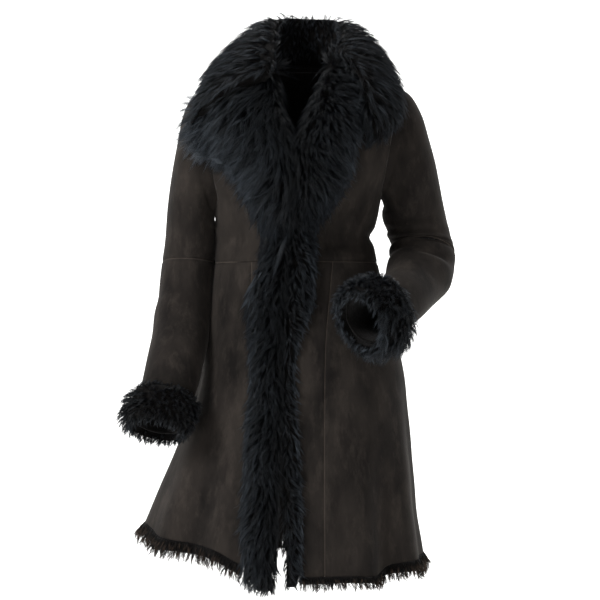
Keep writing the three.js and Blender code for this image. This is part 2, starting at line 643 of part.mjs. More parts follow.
// Body panel between two angles that may change with height, whose rows run between two heights that may
// change with angle
function bodyPanel(fromAngle, toAngle, heightAt, rows, levelled = 0) {
  const middle = heightAt(0.5, 0);
  const columns = Math.max(Math.round(Math.abs(toAngle(middle) - fromAngle(middle)) / COLUMN_ANGLE), 2);
  const pointAt = (u, v) => {
    const angleFor = (z) => lerp(fromAngle(z) + seamAngle(z), toAngle(z) - seamAngle(z), u);
    const guess = heightAt(angleFor(middle), v);
    const z = heightAt(angleFor(guess), v);
    return bodyPoint(angleFor(z), z);
  };
  return wallGeometry(pointAt, columns, rows, levelled);
}

// Bodice rows by share of the way from neck to waist
function bodiceHeight(_, v) {
  const last = BODICE_ROWS.length - 1;
  const at = Math.min(Math.max(v, 0), 1) * last;
  const i = Math.min(Math.floor(at), last - 1);
  const overshoot = (v - Math.min(Math.max(v, 0), 1)) * (WAIST_Z - NECK_Z);
  const z = lerp(BODICE_ROWS[i], BODICE_ROWS[i + 1], at - i) + overshoot;
  return Math.max(z, WAIST_Z + SEAM / 2);
}

// Skirt rows by angle and share of the way from waist to hem
function skirtHeight(angle, v) {
  return lerp(WAIST_Z - SEAM / 2, hemHeight(angleBetween(angle, 0)), v);
}

// Solid of everything inside the coat's outer surface, raised or lowered, for cutting armholes and seats
function bodySolid(raise) {
  const loops = [...BODICE_ROWS, ...HIP_ROWS].map((z) => {
    const loop = [];
    for (let i = 0; i < BODY_SIDES; i += 1) loop.push(bodyPoint((360 * i) / BODY_SIDES, z, raise));
    return loop;
  });
  return toSolid(loftGeometry(loops));
}

// Solid of everything inside a sleeve's outer surface, raised by a distance
function sleeveSolid(sleeve, raise) {
  return toSolid(loftGeometry(sleeveLoops(sleeve, 0, sleeve.end, raise)));
}

function buildBodice() {
  const cutters = SLEEVES.map((sleeve) => sleeveSolid(sleeve, SEAM));
  const rows = BODICE_ROWS.length - 1;
  const panels = [
    { name: 'bodice_front_right', from: () => -90, to: (z) => edgeAngle('right', z) },
    { name: 'bodice_front_left', from: (z) => edgeAngle('left', z), to: () => 90 },
    { name: 'bodice_back', from: () => 90, to: () => 270 },
  ];
  for (const panel of panels) {
    let solid = toSolid(bodyPanel(panel.from, panel.to, bodiceHeight, rows));
    for (const cutter of cutters) solid = solid.subtract(cutter);
    addMesh(panel.name, solid, SUEDE);
  }
}

function buildSkirt() {
  const seamAt = (side, z) => angleAtX(readTable(SKIRT_SEAMS, 'z', z)[side], z);
  const panels = [
    { name: 'skirt_back_right', from: () => -180, to: () => -90 },
    { name: 'skirt_side_right', from: () => -90, to: (z) => seamAt('right', z) },
    { name: 'skirt_front_right', from: (z) => seamAt('right', z), to: (z) => edgeAngle('right', z) },
    { name: 'skirt_front_left', from: (z) => edgeAngle('left', z), to: (z) => seamAt('left', z) },
    { name: 'skirt_side_left', from: (z) => seamAt('left', z), to: () => 90 },
    { name: 'skirt_back_left', from: () => 90, to: () => 180 },
  ];
  for (const panel of panels) {
    addMesh(panel.name, toSolid(bodyPanel(panel.from, panel.to, skirtHeight, SKIRT_ROWS, 1)), SUEDE);
  }
}

function buildSleeves() {
  const hollow = bodySolid(-WALL);
  for (const sleeve of SLEEVES) {
    const stretches = [
      { name: `sleeve_upper_${sleeve.side}`, from: 0, to: sleeve.elbow - SEAM_ROWS },
      { name: `sleeve_lower_${sleeve.side}`, from: sleeve.elbow + SEAM_ROWS, to: sleeve.end },
    ];
    for (const stretch of stretches) {
      const outer = sleeveLoops(sleeve, stretch.from, stretch.to, 0);
      const inner = sleeveLoops(sleeve, stretch.from, stretch.to, -WALL);
      const wall = toSolid(tubeGeometry(outer, inner));
      addMesh(stretch.name, stretch.from === 0 ? wall.subtract(hollow) : wall, SUEDE_SLEEVE);
    }
  }
}

function buildCuffs() {
  for (const sleeve of SLEEVES) {
    const [outer, inner] = [[], []];
    for (const { along, lift } of CUFF_PROFILE) {
      const at = lerp(sleeve.cuffStart, sleeve.cuffEnd, along);
      outer.push(sleeveLoop(sleeve, at, lerp(SEAT, CUFF_LIFT, lift), sleeve.spread));
      inner.push(sleeveLoop(sleeve, at, SEAT));
    }
    addMesh(`cuff_${sleeve.side}`, toSolid(tubeGeometry(outer, inner)), FUR);
  }
}

// Section of a fur strip that lies on the front, between an inner and an outer point
function furSection(inner, outer, rise, base) {
  const loop = FUR_PROFILE.map(({ across, up }) => {
    const x = lerp(inner.x, outer.x, across);
    const z = lerp(inner.z, outer.z, across);
    return frontPoint(x, z, lerp(base, rise, up));
  });
  for (const across of FUR_UNDERSIDE) {
    loop.push(frontPoint(lerp(inner.x, outer.x, across), lerp(inner.z, outer.z, across), base));
  }
  return loop;
}

function buildEdging() {
  const strips = [
    { side: 'right', rows: EDGING_RIGHT, sign: RIGHT },
    { side: 'left', rows: EDGING_LEFT, sign: LEFT },
  ];
  for (const { side, rows, sign } of strips) {
    const [top, bottom] = [rows[0].z - SEAM / 2, rows[rows.length - 1].z];
    const loops = [];
    for (let k = 0; k <= EDGING_STEPS; k += 1) {
      const z = lerp(top, bottom, k / EDGING_STEPS);
      const { outer, rise } = readTable(rows, 'z', z);
      const opening = readTable(OPENING, 'z', z);
      const middle = (opening.right + opening.left) / 2;
      loops.push(furSection({ x: middle + sign * opening.furGap, z }, { x: outer, z }, rise, 1.5 * SEAT));
    }
    addMesh(`edging_${side}`, toSolid(loftGeometry(loops)), FUR);
  }
}

// Loops along a lapel, each side grown by a distance
function lapelLoops(rows, sign, grow) {
  const loops = [];
  for (let k = 0; k <= LAPEL_STEPS; k += 1) {
    const row = readRows(rows, (k / LAPEL_STEPS) * (rows.length - 1));
    const up = k === LAPEL_STEPS ? 3 * grow : 0;
    const inner = { x: row.innerX - sign * grow, z: row.innerZ + up };
    const outer = { x: row.outerX + sign * grow, z: row.outerZ + up };
    loops.push(furSection(inner, outer, row.rise + grow, SEAT - grow));
  }
  return loops;
}

// Line of one of the collar's named points, by row number
function collarPoint(name, at) {
  const rows = COLLAR_SECTIONS.map((section) => {
    const [x, y, z] = section[name];
    return { x, y, z };
  });
  const { x, y, z } = readRows(rows, at);
  return new THREE.Vector3(x, y, z);
}

// Section of the collar at a row number: up the stand from the neck seam, over the crest, down the fall and
// back under it
function collarSection(at) {
  const [seam, crest, tip] = ['seam', 'crest', 'tip'].map((name) => collarPoint(name, at));
  const thick = readRows(COLLAR_SECTIONS.map((section) => ({ thick: section.thick })), at).thick;
  const fall = tip.clone().sub(crest);
  const path = new THREE.Vector3();
  for (const name of ['crest', 'tip']) {
    path.add(collarPoint(name, at + PATH_ROWS)).sub(collarPoint(name, at - PATH_ROWS));
  }
  const out = path.cross(fall).normalize();
  const sideways = new THREE.Vector3(fall.x, fall.y, 0).normalize();
  return [
    seam.clone(),
    seam.clone().lerp(crest, 0.6),
    ...COLLAR_PROFILE.map(({ along, up }) => (
      crest.clone().addScaledVector(fall, along).addScaledVector(out, thick * up)
    )),
    seam.clone().lerp(crest, 0.12).addScaledVector(sideways, COLLAR_STAND),
  ];
}

function buildCollarAndLapels() {
  const lapels = [
    { name: 'lapel_right', rows: LAPEL_RIGHT, sign: RIGHT },
    { name: 'lapel_left', rows: LAPEL_LEFT, sign: LEFT },
  ];
  const keepClear = [bodySolid(SEAT), ...SLEEVES.map((sleeve) => sleeveSolid(sleeve, SEAT))];
  const cutLapels = [];
  for (const { name, rows, sign } of lapels) {
    let solid = toSolid(loftGeometry(lapelLoops(rows, sign, 0)));
    for (const other of keepClear) solid = solid.subtract(other);
    addMesh(name, solid, FUR);
    const grown = toSolid(loftGeometry(lapelLoops(rows, sign, 2 * SEAM)));
    cutLapels.push(grown, solid, solid.translate([0, -SEAM, SEAM]));
  }
  const loops = [];
  for (let k = 0; k <= COLLAR_STATIONS; k += 1) {
    loops.push(collarSection((k / COLLAR_STATIONS) * (COLLAR_SECTIONS.length - 1)));
  }
  let collar = toSolid(loftGeometry(loops));
  for (const other of [...keepClear, ...cutLapels]) collar = collar.subtract(other);
  addMesh('collar', collar, FUR);
}

function buildHemEdging() {
  // Angle just outside a front edging's outer edge, at the height of the hem
  const besideEdging = (rows, sign) => (
    angleAtX(readTable(rows, 'z', EDGING_END_Z).outer, EDGING_END_Z) + sign * EDGING_END_GAP
  );
  const strips = [
    { name: 'hem_fur_back_right', from: -180, to: -90 },
    { name: 'hem_fur_front_right', from: -90, to: besideEdging(EDGING_RIGHT, RIGHT) },
    { name: 'hem_fur_front_left', from: besideEdging(EDGING_LEFT, LEFT), to: 90 },
    { name: 'hem_fur_back_left', from: 90, to: 180 },
  ];
  for (const { name, from, to } of strips) {
    const steps = Math.round((to - from) / COLUMN_ANGLE);
    const loops = [];
    for (let k = 0; k <= steps; k += 1) {
      const angle = lerp(from + HEM_END_GAP, to - HEM_END_GAP, k / steps);
      const top = hemHeight(angle) - HEM_CLEARANCE;
      const drop = readTable(HEM_DROP, 'angle', angle).drop;
      loops.push(HEM_PROFILE.map(({ out, down }) => bodyPoint(angle, top - drop * down, -out * HEM_FUR)));
    }
    addMesh(name, toSolid(loftGeometry(loops)), FUR);
  }
}

buildBodice();
buildSkirt();
buildSleeves();
buildCuffs();
buildEdging();
buildCollarAndLapels();
buildHemEdging();

export default group;
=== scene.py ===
"""Knee-length shearling coat in its worn pose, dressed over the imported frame.

Tables are in millimetres and angles in degrees; meshes are in metres with +Z up. The wearer faces -Y, so the
coat's right side is at -X. Angle 0 round the body is the front, 90 the wearer's left and 180 the back.
"""

from __future__ import annotations

import logging
import math
from dataclasses import dataclass, field
from enum import Enum
from typing import Any, Callable, Sequence

import bmesh
import bpy
import numpy as np
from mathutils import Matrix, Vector

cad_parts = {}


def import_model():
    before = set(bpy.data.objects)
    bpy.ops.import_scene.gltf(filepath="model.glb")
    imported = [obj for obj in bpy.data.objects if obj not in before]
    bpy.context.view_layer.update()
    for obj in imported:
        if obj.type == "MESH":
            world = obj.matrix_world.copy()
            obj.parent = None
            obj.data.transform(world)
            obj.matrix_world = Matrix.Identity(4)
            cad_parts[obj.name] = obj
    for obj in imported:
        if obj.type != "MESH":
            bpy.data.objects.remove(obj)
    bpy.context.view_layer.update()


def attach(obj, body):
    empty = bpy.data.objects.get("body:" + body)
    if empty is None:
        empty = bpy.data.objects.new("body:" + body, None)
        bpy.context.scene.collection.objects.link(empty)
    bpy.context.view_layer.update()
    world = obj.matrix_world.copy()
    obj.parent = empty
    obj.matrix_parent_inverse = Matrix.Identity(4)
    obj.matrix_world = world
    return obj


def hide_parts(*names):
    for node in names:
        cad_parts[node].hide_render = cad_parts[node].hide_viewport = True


LOG = logging.getLogger("shearling_coat")
MM = 0.001
Array = np.ndarray
Surface = Callable[[Array, Array], Array]


class Side(Enum):
    """Side of the coat, as the wearer has it, with its sign along X."""

    RIGHT = -1
    LEFT = 1

    @property
    def word(self) -> str:
        """The side's name as the pieces carry it."""
        return self.name.lower()


@dataclass(frozen=True)
class Table:
    """Rows of sizes in named columns, read along a smooth curve through the rows."""

    columns: tuple[str, ...]
    rows: tuple[tuple[float, ...], ...]

    def read(self, at: Array | float, by_row: bool = False) -> dict[str, Array]:
        """Reads every column.

        Args:
            at: Values of the first column, or row numbers.
            by_row: Whether `at` counts rows.

        Returns:
            An array for each column, shaped like `at`.
        """
        values = np.array(self.rows, float)
        keys = np.arange(len(values), dtype=float) if by_row else values[:, 0].copy()
        if keys[-1] < keys[0]:
            values, keys = values[::-1], keys[::-1]
        at = np.asarray(at, float)
        low = np.clip(np.searchsorted(keys, at) - 1, 0, len(keys) - 2)
        high, before = low + 1, np.maximum(low - 1, 0)
        after = np.minimum(low + 2, len(keys) - 1)
        span = (keys[high] - keys[low])[..., None]
        t = np.clip((at[..., None] - keys[low][..., None]) / span, 0.0, 1.0)
        slope_low = (values[high] - values[before]) / (keys[high] - keys[before])[..., None] * span
        slope_high = (values[after] - values[low]) / (keys[after] - keys[low])[..., None] * span
        smooth = (
            values[low] * (2 * t**3 - 3 * t**2 + 1)
            + slope_low * (t**3 - 2 * t**2 + t)
            + values[high] * (3 * t**2 - 2 * t**3)
            + slope_high * (t**3 - t**2)
        )
        found = dict(zip(self.columns, np.moveaxis(smooth, -1, 0)))
        if not by_row:
            found[self.columns[0]] = at
        return found


def bump(distance: Array, half_width: Array | float) -> Array:
    """A soft hump that falls away over a half width."""
    return np.exp(-((distance / half_width) ** 2))


def turn_between(a: Array, b: Array | float) -> Array:
    """Angle from b to a, between -180 and 180 degrees."""
    return (a - b + 540.0) % 360.0 - 180.0


def mix(a: Array | float, b: Array | float, t: Array | float) -> Array:
    """Straight blend from a to b."""
    return a + (b - a) * t


def unit(vectors: Array) -> Array:
    """Vectors along the last axis, at length one."""
    return vectors / np.maximum(np.linalg.norm(vectors, axis=-1, keepdims=True), 1e-12)


@dataclass
class CoatForm:
    """The coat's outer surface: body, folds and sleeves, from the same sizes as the solids."""

    neck_z: float = 55.0
    waist_z: float = -336.0
    collar_bone_z: float = 22.0
    full_flare_z: float = -930.0
    seam: float = 0.3
    seat: float = 0.9
    chest_reach: float = 0.86
    neck_lean: float = 0.4
    sections: Table = Table(
        ("z", "centre", "half_width", "front", "back", "roundness"),
        (
            (55, 16, 74, 52, 72, 2.1), (40, 14, 112, 68, 84, 2.2), (22, 10, 154, 82, 94, 2.3),
            (3, 6, 189, 94, 102, 2.4), (-18, 4, 204, 104, 108, 2.5), (-50, 2, 204, 117, 114, 2.5),
            (-90, 0, 197, 130, 119, 2.4), (-130, -1, 189, 139, 120, 2.3), (-167, -3, 180, 141, 117, 2.2),
            (-204, -5, 168, 134, 111, 2.1), (-242, -7, 162, 121, 103, 2.1), (-284, -11, 159, 109, 98, 2.1),
            (-336, -8, 163, 115, 108, 2.1), (-380, -5, 171, 121, 119, 2.1), (-440, -1, 183, 129, 133, 2.1),
            (-500, 2, 194, 141, 147, 2.1), (-565, 3, 205, 155, 160, 2.1), (-644, -4, 220, 170, 174, 2.1),
            (-744, -16, 242, 186, 190, 2.1), (-830, -28, 263, 198, 203, 2.1), (-900, -35, 281, 206, 212, 2.1),
            (-980, -41, 300, 214, 220, 2.1),
        ),
    )
    hem: Table = Table(
        ("angle", "z"),
        (
            (-180, -922), (-150, -914), (-120, -886), (-96, -857), (-80, -853), (-60, -866), (-40, -875),
            (-26, -884), (-15, -907), (-5, -926), (8, -930), (25, -931), (40, -933), (50, -918), (65, -914),
            (90, -913), (120, -919), (150, -926), (180, -922),
        ),
    )
    flare_folds: Table = Table(
        ("angle", "half_angle", "depth", "start"),
        (
            (-14, 9, 5, -560), (-38, 8, -15, -420), (-57, 9, 7, -470), (-88, 13, 12, -600),
            (-112, 10, -13, -500),
            (-133, 10, 9, -440), (-156, 9, -14, -460), (178, 12, 8, -520), (152, 9, -12, -400),
            (128, 11, 8, -520),
            (104, 9, -11, -480), (78, 7, -7, -520), (62, 8, 9, -500), (46, 7, -18, -640), (33, 7, 8, -600),
            (4, 6, -5, -450),
        ),
    )
    creases: Table = Table(
        ("angle", "z", "half_angle", "half_height", "depth", "slant"),
        (
            (84, -284, 30, 12, -9, 0), (36, -303, 26, 12, -5, 0), (-56, -292, 22, 14, -5, 0),
            (-150, -290, 30, 15, -6, 0), (140, -298, 30, 14, -6, 0), (2, -400, 7, 50, -4, 0),
            # finer than the solids: pulls at the waist, under the arms and down the skirt
            (66, -262, 14, 7, -3.0, 0.5), (58, -318, 16, 6, -2.2, -0.4), (-48, -318, 15, 6, -2.4, 0.5),
            (-72, -262, 12, 7, -2.6, -0.6), (70, -196, 9, 14, -2.4, 1.4), (-70, -214, 10, 14, -2.4, -1.2),
            (166, -268, 20, 7, -2.4, 0.3), (-170, -316, 18, 6, -2.0, -0.4), (118, -330, 12, 6, -2.0, 0.5),
            (-118, -262, 12, 7, -2.4, 0.5), (20, -560, 4.5, 60, -2.6, 0), (30, -452, 5, 70, 1.8, 0),
            (-28, -640, 4.5, 95, -2.4, 0), (-50, -520, 5, 80, 2.2, 0), (58, -700, 4, 80, -2.2, 0),
            (84, -640, 5, 110, 2.2, 0), (94, -700, 4, 100, -2.6, 0), (-100, -700, 5, 100, 2.4, 0),
            (-76, -620, 4, 90, -2.4, 0), (116, -620, 5, 90, 2.2, 0), (142, -690, 5, 90, 2.4, 0),
            (-146, -640, 5, 90, 2.2, 0), (-168, -600, 5, 80, -2.2, 0), (168, -680, 5, 90, -2.4, 0),
        ),
    )
    opening: Table = Table(
        ("z", "right", "left", "fur_gap"),
        (
            (55, -42, 66, 0.5), (22, -40, 52, 0.5), (-18, -34, 34, 0.5), (-60, -22, 12, 0.5),
            (-95, -12, -2, 0.5),
            (-140, -15, -5, 0.5), (-240, -21, -11, 0.5), (-336, -29, -19, 0.6), (-500, -41, -25, 0.8),
            (-600, -46, -22, 1.5), (-700, -54, -15, 3.5), (-820, -62, -10, 7), (-980, -66, -12, 13),
        ),
    )
    skirt_seams: Table = Table(
        ("z", "right", "left"), ((-336, -94, 64), (-520, -95, 49), (-980, -101, 47))
    )

    def fold_offset(self, angle: Array, z: Array) -> Array:
        """How far the cloth stands out of its plain section, in millimetres.

        Args:
            angle: Angles round the body.
            z: Heights.

        Returns:
            Distances outwards, below zero in a trough.
        """
        out = 0.35 * np.sin(z / 17.0 + angle / 9.0) + 0.5 * np.sin(z / 41.0 - angle / 13.0 + 1.0)
        for at, half_angle, depth, start in self.flare_folds.rows:
            t = np.clip((z - start) / (self.full_flare_z - start), 0.0, 1.0)
            out = out + depth * t * t * (3 - 2 * t) * bump(turn_between(angle, at), half_angle)
        for at, at_z, half_angle, half_height, depth, slant in self.creases.rows:
            aside = turn_between(angle, at)
            out = out + depth * bump(aside, half_angle) * bump(z - at_z - slant * aside, half_height)
        return out

    def body(self, angle: Array, z: Array, raised: Array | float = 0.0) -> Array:
        """Points on the body's outer surface.

        Args:
            angle: Angles round the body.
            z: Heights.
            raised: Distance out of the surface.

        Returns:
            Points in millimetres, in the last axis.
        """
        angle, z = np.broadcast_arrays(np.asarray(angle, float), np.asarray(z, float))
        row = self.sections.read(z)
        across, along = np.sin(np.radians(angle)), np.cos(np.radians(angle))
        depth = np.where(along > 0, row["front"], row["back"])
        power = 2.0 / row["roundness"]
        x = row["half_width"] * np.sign(across) * np.abs(across) ** power
        y = -depth * np.sign(along) * np.abs(along) ** power
        outward = unit(np.stack([x / row["half_width"] ** 2, y / depth**2], -1))
        out = self.fold_offset(angle, z) + raised
        return np.stack([row["centre"] + x + outward[..., 0] * out, y + outward[..., 1] * out, z], -1)

    def angle_at(self, x: Array | float, z: Array | float) -> Array:
        """Angle round the body at which the front has a given x.

        Args:
            x: Places across.
            z: Heights.

        Returns:
            Angles in degrees, 0 at the front's middle.
        """
        row = self.sections.read(np.asarray(z, float))
        share = np.clip((x - row["centre"]) / row["half_width"], -1.0, 1.0)
        return np.degrees(np.arcsin(np.sign(share) * np.abs(share) ** (row["roundness"] / 2)))

    def front(self, x: Array, z: Array, raised: Array | float) -> Array:
        """Points in front of the coat, raised off the suede, leaning back above the collar bone.

        Args:
            x: Places across.
            z: Heights.
            raised: Distance out of the suede.

        Returns:
            Points in millimetres, in the last axis.
        """
        held = np.minimum(z, self.collar_bone_z)
        row = self.sections.read(held)
        reach = row["half_width"] * self.chest_reach
        held_x = np.clip(x, row["centre"] - reach, row["centre"] + reach)
        surface = self.body(self.angle_at(held_x, held), held)
        return np.stack([x, surface[..., 1] - raised + (z - held) * self.neck_lean, z], -1)

    def hem_z(self, angle: Array) -> Array:
        """Height of the suede's lower edge at an angle."""
        return self.hem.read(turn_between(np.asarray(angle, float), 0.0))["z"]

    def edge_angle(self, side: Side, z: Array) -> Array:
        """Angle at which a front's suede ends at the opening."""
        return self.angle_at(self.opening.read(np.asarray(z, float))[side.word], z)

    def seam_angle(self, side: Side, z: Array) -> Array:
        """Angle of the seam between a narrow skirt front and its skirt side."""
        return self.angle_at(self.skirt_seams.read(np.asarray(z, float))[side.word], z)


SLEEVE_COLUMNS = ("out_x", "out_y", "out_z", "in_x", "in_y", "in_z", "half_depth")
CREASE_COLUMNS = ("row", "half_rows", "angle", "half_angle", "depth", "slant")


@dataclass
class SleeveForm:
    """One sleeve's outer surface, from the armhole to the wrist.

    Rows hold the outermost and innermost point of each section and its half depth. Creases lie in section
    rows along the sleeve and at angles round it, where 0 is the outer edge and 180 the inner one.
    """

    side: Side
    sections: Table
    creases: Table
    elbow: float
    end: float
    cuff_start: float
    cuff_end: float
    spread: float

    def read(self, row: Array) -> tuple[Array, Array, Array]:
        """Outermost points, innermost points and half depths of sections.

        Args:
            row: Section rows.

        Returns:
            The three, with points in the last axis.
        """
        found = self.sections.read(row, by_row=True)
        outer = np.stack([found[f"out_{axis}"] for axis in "xyz"], -1)
        inner = np.stack([found[f"in_{axis}"] for axis in "xyz"], -1)
        return outer, inner, found["half_depth"]

    def run(self, row: Array) -> Array:
        """Direction of the sleeve towards the wrist."""
        before, after = self.read(row - 0.2), self.read(row + 0.2)
        return unit(after[0] + after[1] - before[0] - before[1])

    def point(self, row: Array, angle: Array, raised: Array | float = 0.0, spread: float = 1.0) -> Array:
        """Points on the sleeve's outer surface.

        Args:
            row: Section rows.
            angle: Angles round the sleeve.
            raised: Distance out of the surface.
            spread: Multiple of that distance along the section's width.

        Returns:
            Points in millimetres, in the last axis.
        """
        row, angle = np.broadcast_arrays(np.asarray(row, float), np.asarray(angle, float))
        outer, inner, half_depth = self.read(row)
        centre = (outer + inner) / 2
        half_width = np.linalg.norm(outer - centre, axis=-1)
        across = unit(outer - centre)
        deep = unit(np.cross(self.run(row), across))
        out = np.zeros(row.shape) + raised
        for at, half_rows, at_angle, half_angle, depth, slant in self.creases.rows:
            aside = turn_between(angle, at_angle)
            out = out + depth * bump(aside, half_angle) * bump(row - at - slant * aside / 90.0, half_rows)
        wide = (half_width + out + raised * (spread - 1.0)) * np.cos(np.radians(angle))
        thick = (half_depth + out) * np.sin(np.radians(angle))
        return centre + across * wide[..., None] + deep * thick[..., None]


RIGHT_SLEEVE = SleeveForm(
    side=Side.RIGHT,
    sections=Table(
        SLEEVE_COLUMNS,
        (
            (-150, 0, 2, -140, 0, -224, 60), (-186, 0, 8, -161, 0, -234, 66),
            (-213, 0, -4, -169, 0, -242, 68),
            (-233, 0, -40, -171, 1, -248, 68), (-246, 0, -104, -170, 2, -254, 66),
            (-257, 2, -165, -167, 3, -262, 63), (-265, 4, -225, -166, 4, -277, 60),
            (-270, 5, -290, -166, 5, -305, 58), (-276, 4, -334, -167, 4, -338, 57),
            (-282, -10, -392, -174, -12, -404, 56), (-291, -34, -450, -178, -38, -466, 55),
            (-299, -76, -524, -188, -81, -540, 54), (-310, -108, -588, -207, -113, -604, 52),
            (-325, -140, -647, -230, -145, -665, 50), (-333, -156, -680, -239, -161, -698, 49),
        ),
    ),
    creases=Table(
        CREASE_COLUMNS,
        (
            (6.4, 0.4, 110, 45, -4, 0), (7.4, 0.35, 250, 45, -4, 0), (9.3, 0.35, 20, 60, -3, 0),
            (10.4, 0.4, 350, 60, -3, 0), (7.9, 0.16, 215, 55, -2.6, 0.3), (8.8, 0.18, 160, 50, -2.6, -0.3),
            (5.6, 0.22, 190, 45, -2.4, 0.5), (9.9, 0.2, 240, 45, -2.2, 0.4),
            (11.0, 0.22, 170, 60, -2.2, -0.3),
            (8.6, 0.9, 285, 22, -2.4, 0), (5.2, 1.0, 300, 20, 2.0, 0),
        ),
    ),
    elbow=8.0, end=12.8, cuff_start=11.98, cuff_end=13.06, spread=0.95,
)
LEFT_SLEEVE = SleeveForm(
    side=Side.LEFT,
    sections=Table(
        SLEEVE_COLUMNS,
        (
            (150, 0, 4, 138, 0, -194, 60), (192, 0, 11, 156, 0, -203, 66), (219, 2, 0, 163, 2, -209, 68),
            (240, 4, -34, 166, 3, -214, 68), (254, 8, -78, 168, 5, -219, 67),
            (268, 12, -126, 169, 8, -227, 66),
            (279, 18, -175, 165, 12, -240, 64), (288, 25, -217, 169, 17, -256, 62),
            (299, 33, -264, 176, 18, -278, 61), (309, 38, -312, 182, 8, -296, 60),
            (306, 22, -356, 183, -12, -310, 58), (290, -8, -394, 179, -34, -326, 56),
            (259, -75, -421, 170, -62, -356, 54), (230, -131, -444, 149, -111, -381, 52),
            (193, -180, -465, 121, -155, -400, 50), (153, -222, -480, 86, -191, -416, 48),
            (126, -246, -488, 61, -215, -426, 47),
        ),
    ),
    creases=Table(
        CREASE_COLUMNS,
        (
            (7.5, 0.32, 120, 55, -3.5, 0), (8.15, 0.3, 130, 55, 3, 0), (8.85, 0.3, 150, 75, -5, 0),
            (9.5, 0.32, 150, 60, 3, 0), (10.2, 0.34, 150, 65, -4, 0), (11.1, 0.4, 40, 60, 4, 0),
            (7.0, 0.17, 100, 55, -5.0, -0.7), (7.45, 0.16, 96, 50, 3.5, -0.6),
            (7.9, 0.15, 105, 60, -6.0, -0.5),
            (8.35, 0.15, 100, 50, 3.5, -0.4), (8.7, 0.14, 110, 58, -6.0, -0.25),
            (9.15, 0.16, 95, 45, 3.0, 0.1),
            (9.6, 0.15, 100, 50, -5.0, 0.35), (10.5, 0.18, 85, 48, -5.0, 0.8), (11.0, 0.18, 85, 40, 3.0, 0.7),
            (11.7, 0.2, 60, 45, -4.0, 0.6), (6.0, 0.2, 95, 45, -3.4, -0.6),
            (6.2, 0.2, 150, 50, -2.6, -0.5), (8.0, 0.16, 235, 60, -4.0, 0.45),
            (9.1, 0.16, 240, 60, -4.2, 0.1),
            (10.1, 0.2, 250, 55, -3.4, -0.5), (12.4, 0.2, 100, 50, -2.2, 0.4), (5.0, 0.9, 75, 20, 2.0, 0),
        ),
    ),
    elbow=9.3, end=14.85, cuff_start=13.45, cuff_end=15.2, spread=1.6,
)


def linear(colour: str) -> tuple[float, float, float, float]:
    """Turns an sRGB hex colour into linear channels with full alpha.

    Args:
        colour: Colour as #rrggbb.

    Returns:
        Red, green, blue and alpha.
    """
    channels = [int(colour.lstrip("#")[i : i + 2], 16) / 255 for i in (0, 2, 4)]
    turned = [c / 12.92 if c <= 0.04045 else ((c + 0.055) / 1.055) ** 2.4 for c in channels]
    return (turned[0], turned[1], turned[2], 1.0)


def add_node(
    tree: bpy.types.NodeTree, kind: str, settings: dict[str, Any] | None = None, **inputs: Any
) -> bpy.types.Node:
    """Adds a node with its settings and links.

    Args:
        tree: Node tree of the material.
        kind: Node type.
        settings: Values of the node's own properties.
        **inputs: Value or linked socket for each input, whose name has its blanks as underscores.

    Returns:
        The new node.
    """
    node = tree.nodes.new(kind)
    for name, value in (settings or {}).items():
        setattr(node, name, value)
    for name, value in inputs.items():
        wanted = name.replace("_", " ")
        socket = next(s for s in node.inputs if s.name == wanted and s.enabled)
        if isinstance(value, bpy.types.NodeSocket):
            tree.links.new(value, socket)
        else:
            socket.default_value = value
    return node


def set_ramp(node: bpy.types.Node, stops: Sequence[tuple[float, str]]) -> None:
    """Gives a colour ramp its stops, as positions and sRGB colours.

    Args:
        node: The colour ramp's node.
        stops: Position and colour of each stop, in order.
    """
    ramp = node.color_ramp
    while len(ramp.elements) < len(stops):
        ramp.elements.new(1.0)
    for element, (position, colour) in zip(ramp.elements, stops):
        element.position = position
        element.color = linear(colour)


def new_material(name: str) -> tuple[bpy.types.Material, bpy.types.NodeTree]:
    """Makes an empty node material.

    Args:
        name: Name of the material.

    Returns:
        The material and its node tree.
    """
    material = bpy.data.materials.new(name)
    material.use_nodes = True
    material.node_tree.nodes.clear()
    return material, material.node_tree


def close_material(tree: bpy.types.NodeTree, shader: bpy.types.Node) -> None:
    """Links a shader to the material's output."""
    add_node(tree, "ShaderNodeOutputMaterial", Surface=shader.outputs[0])


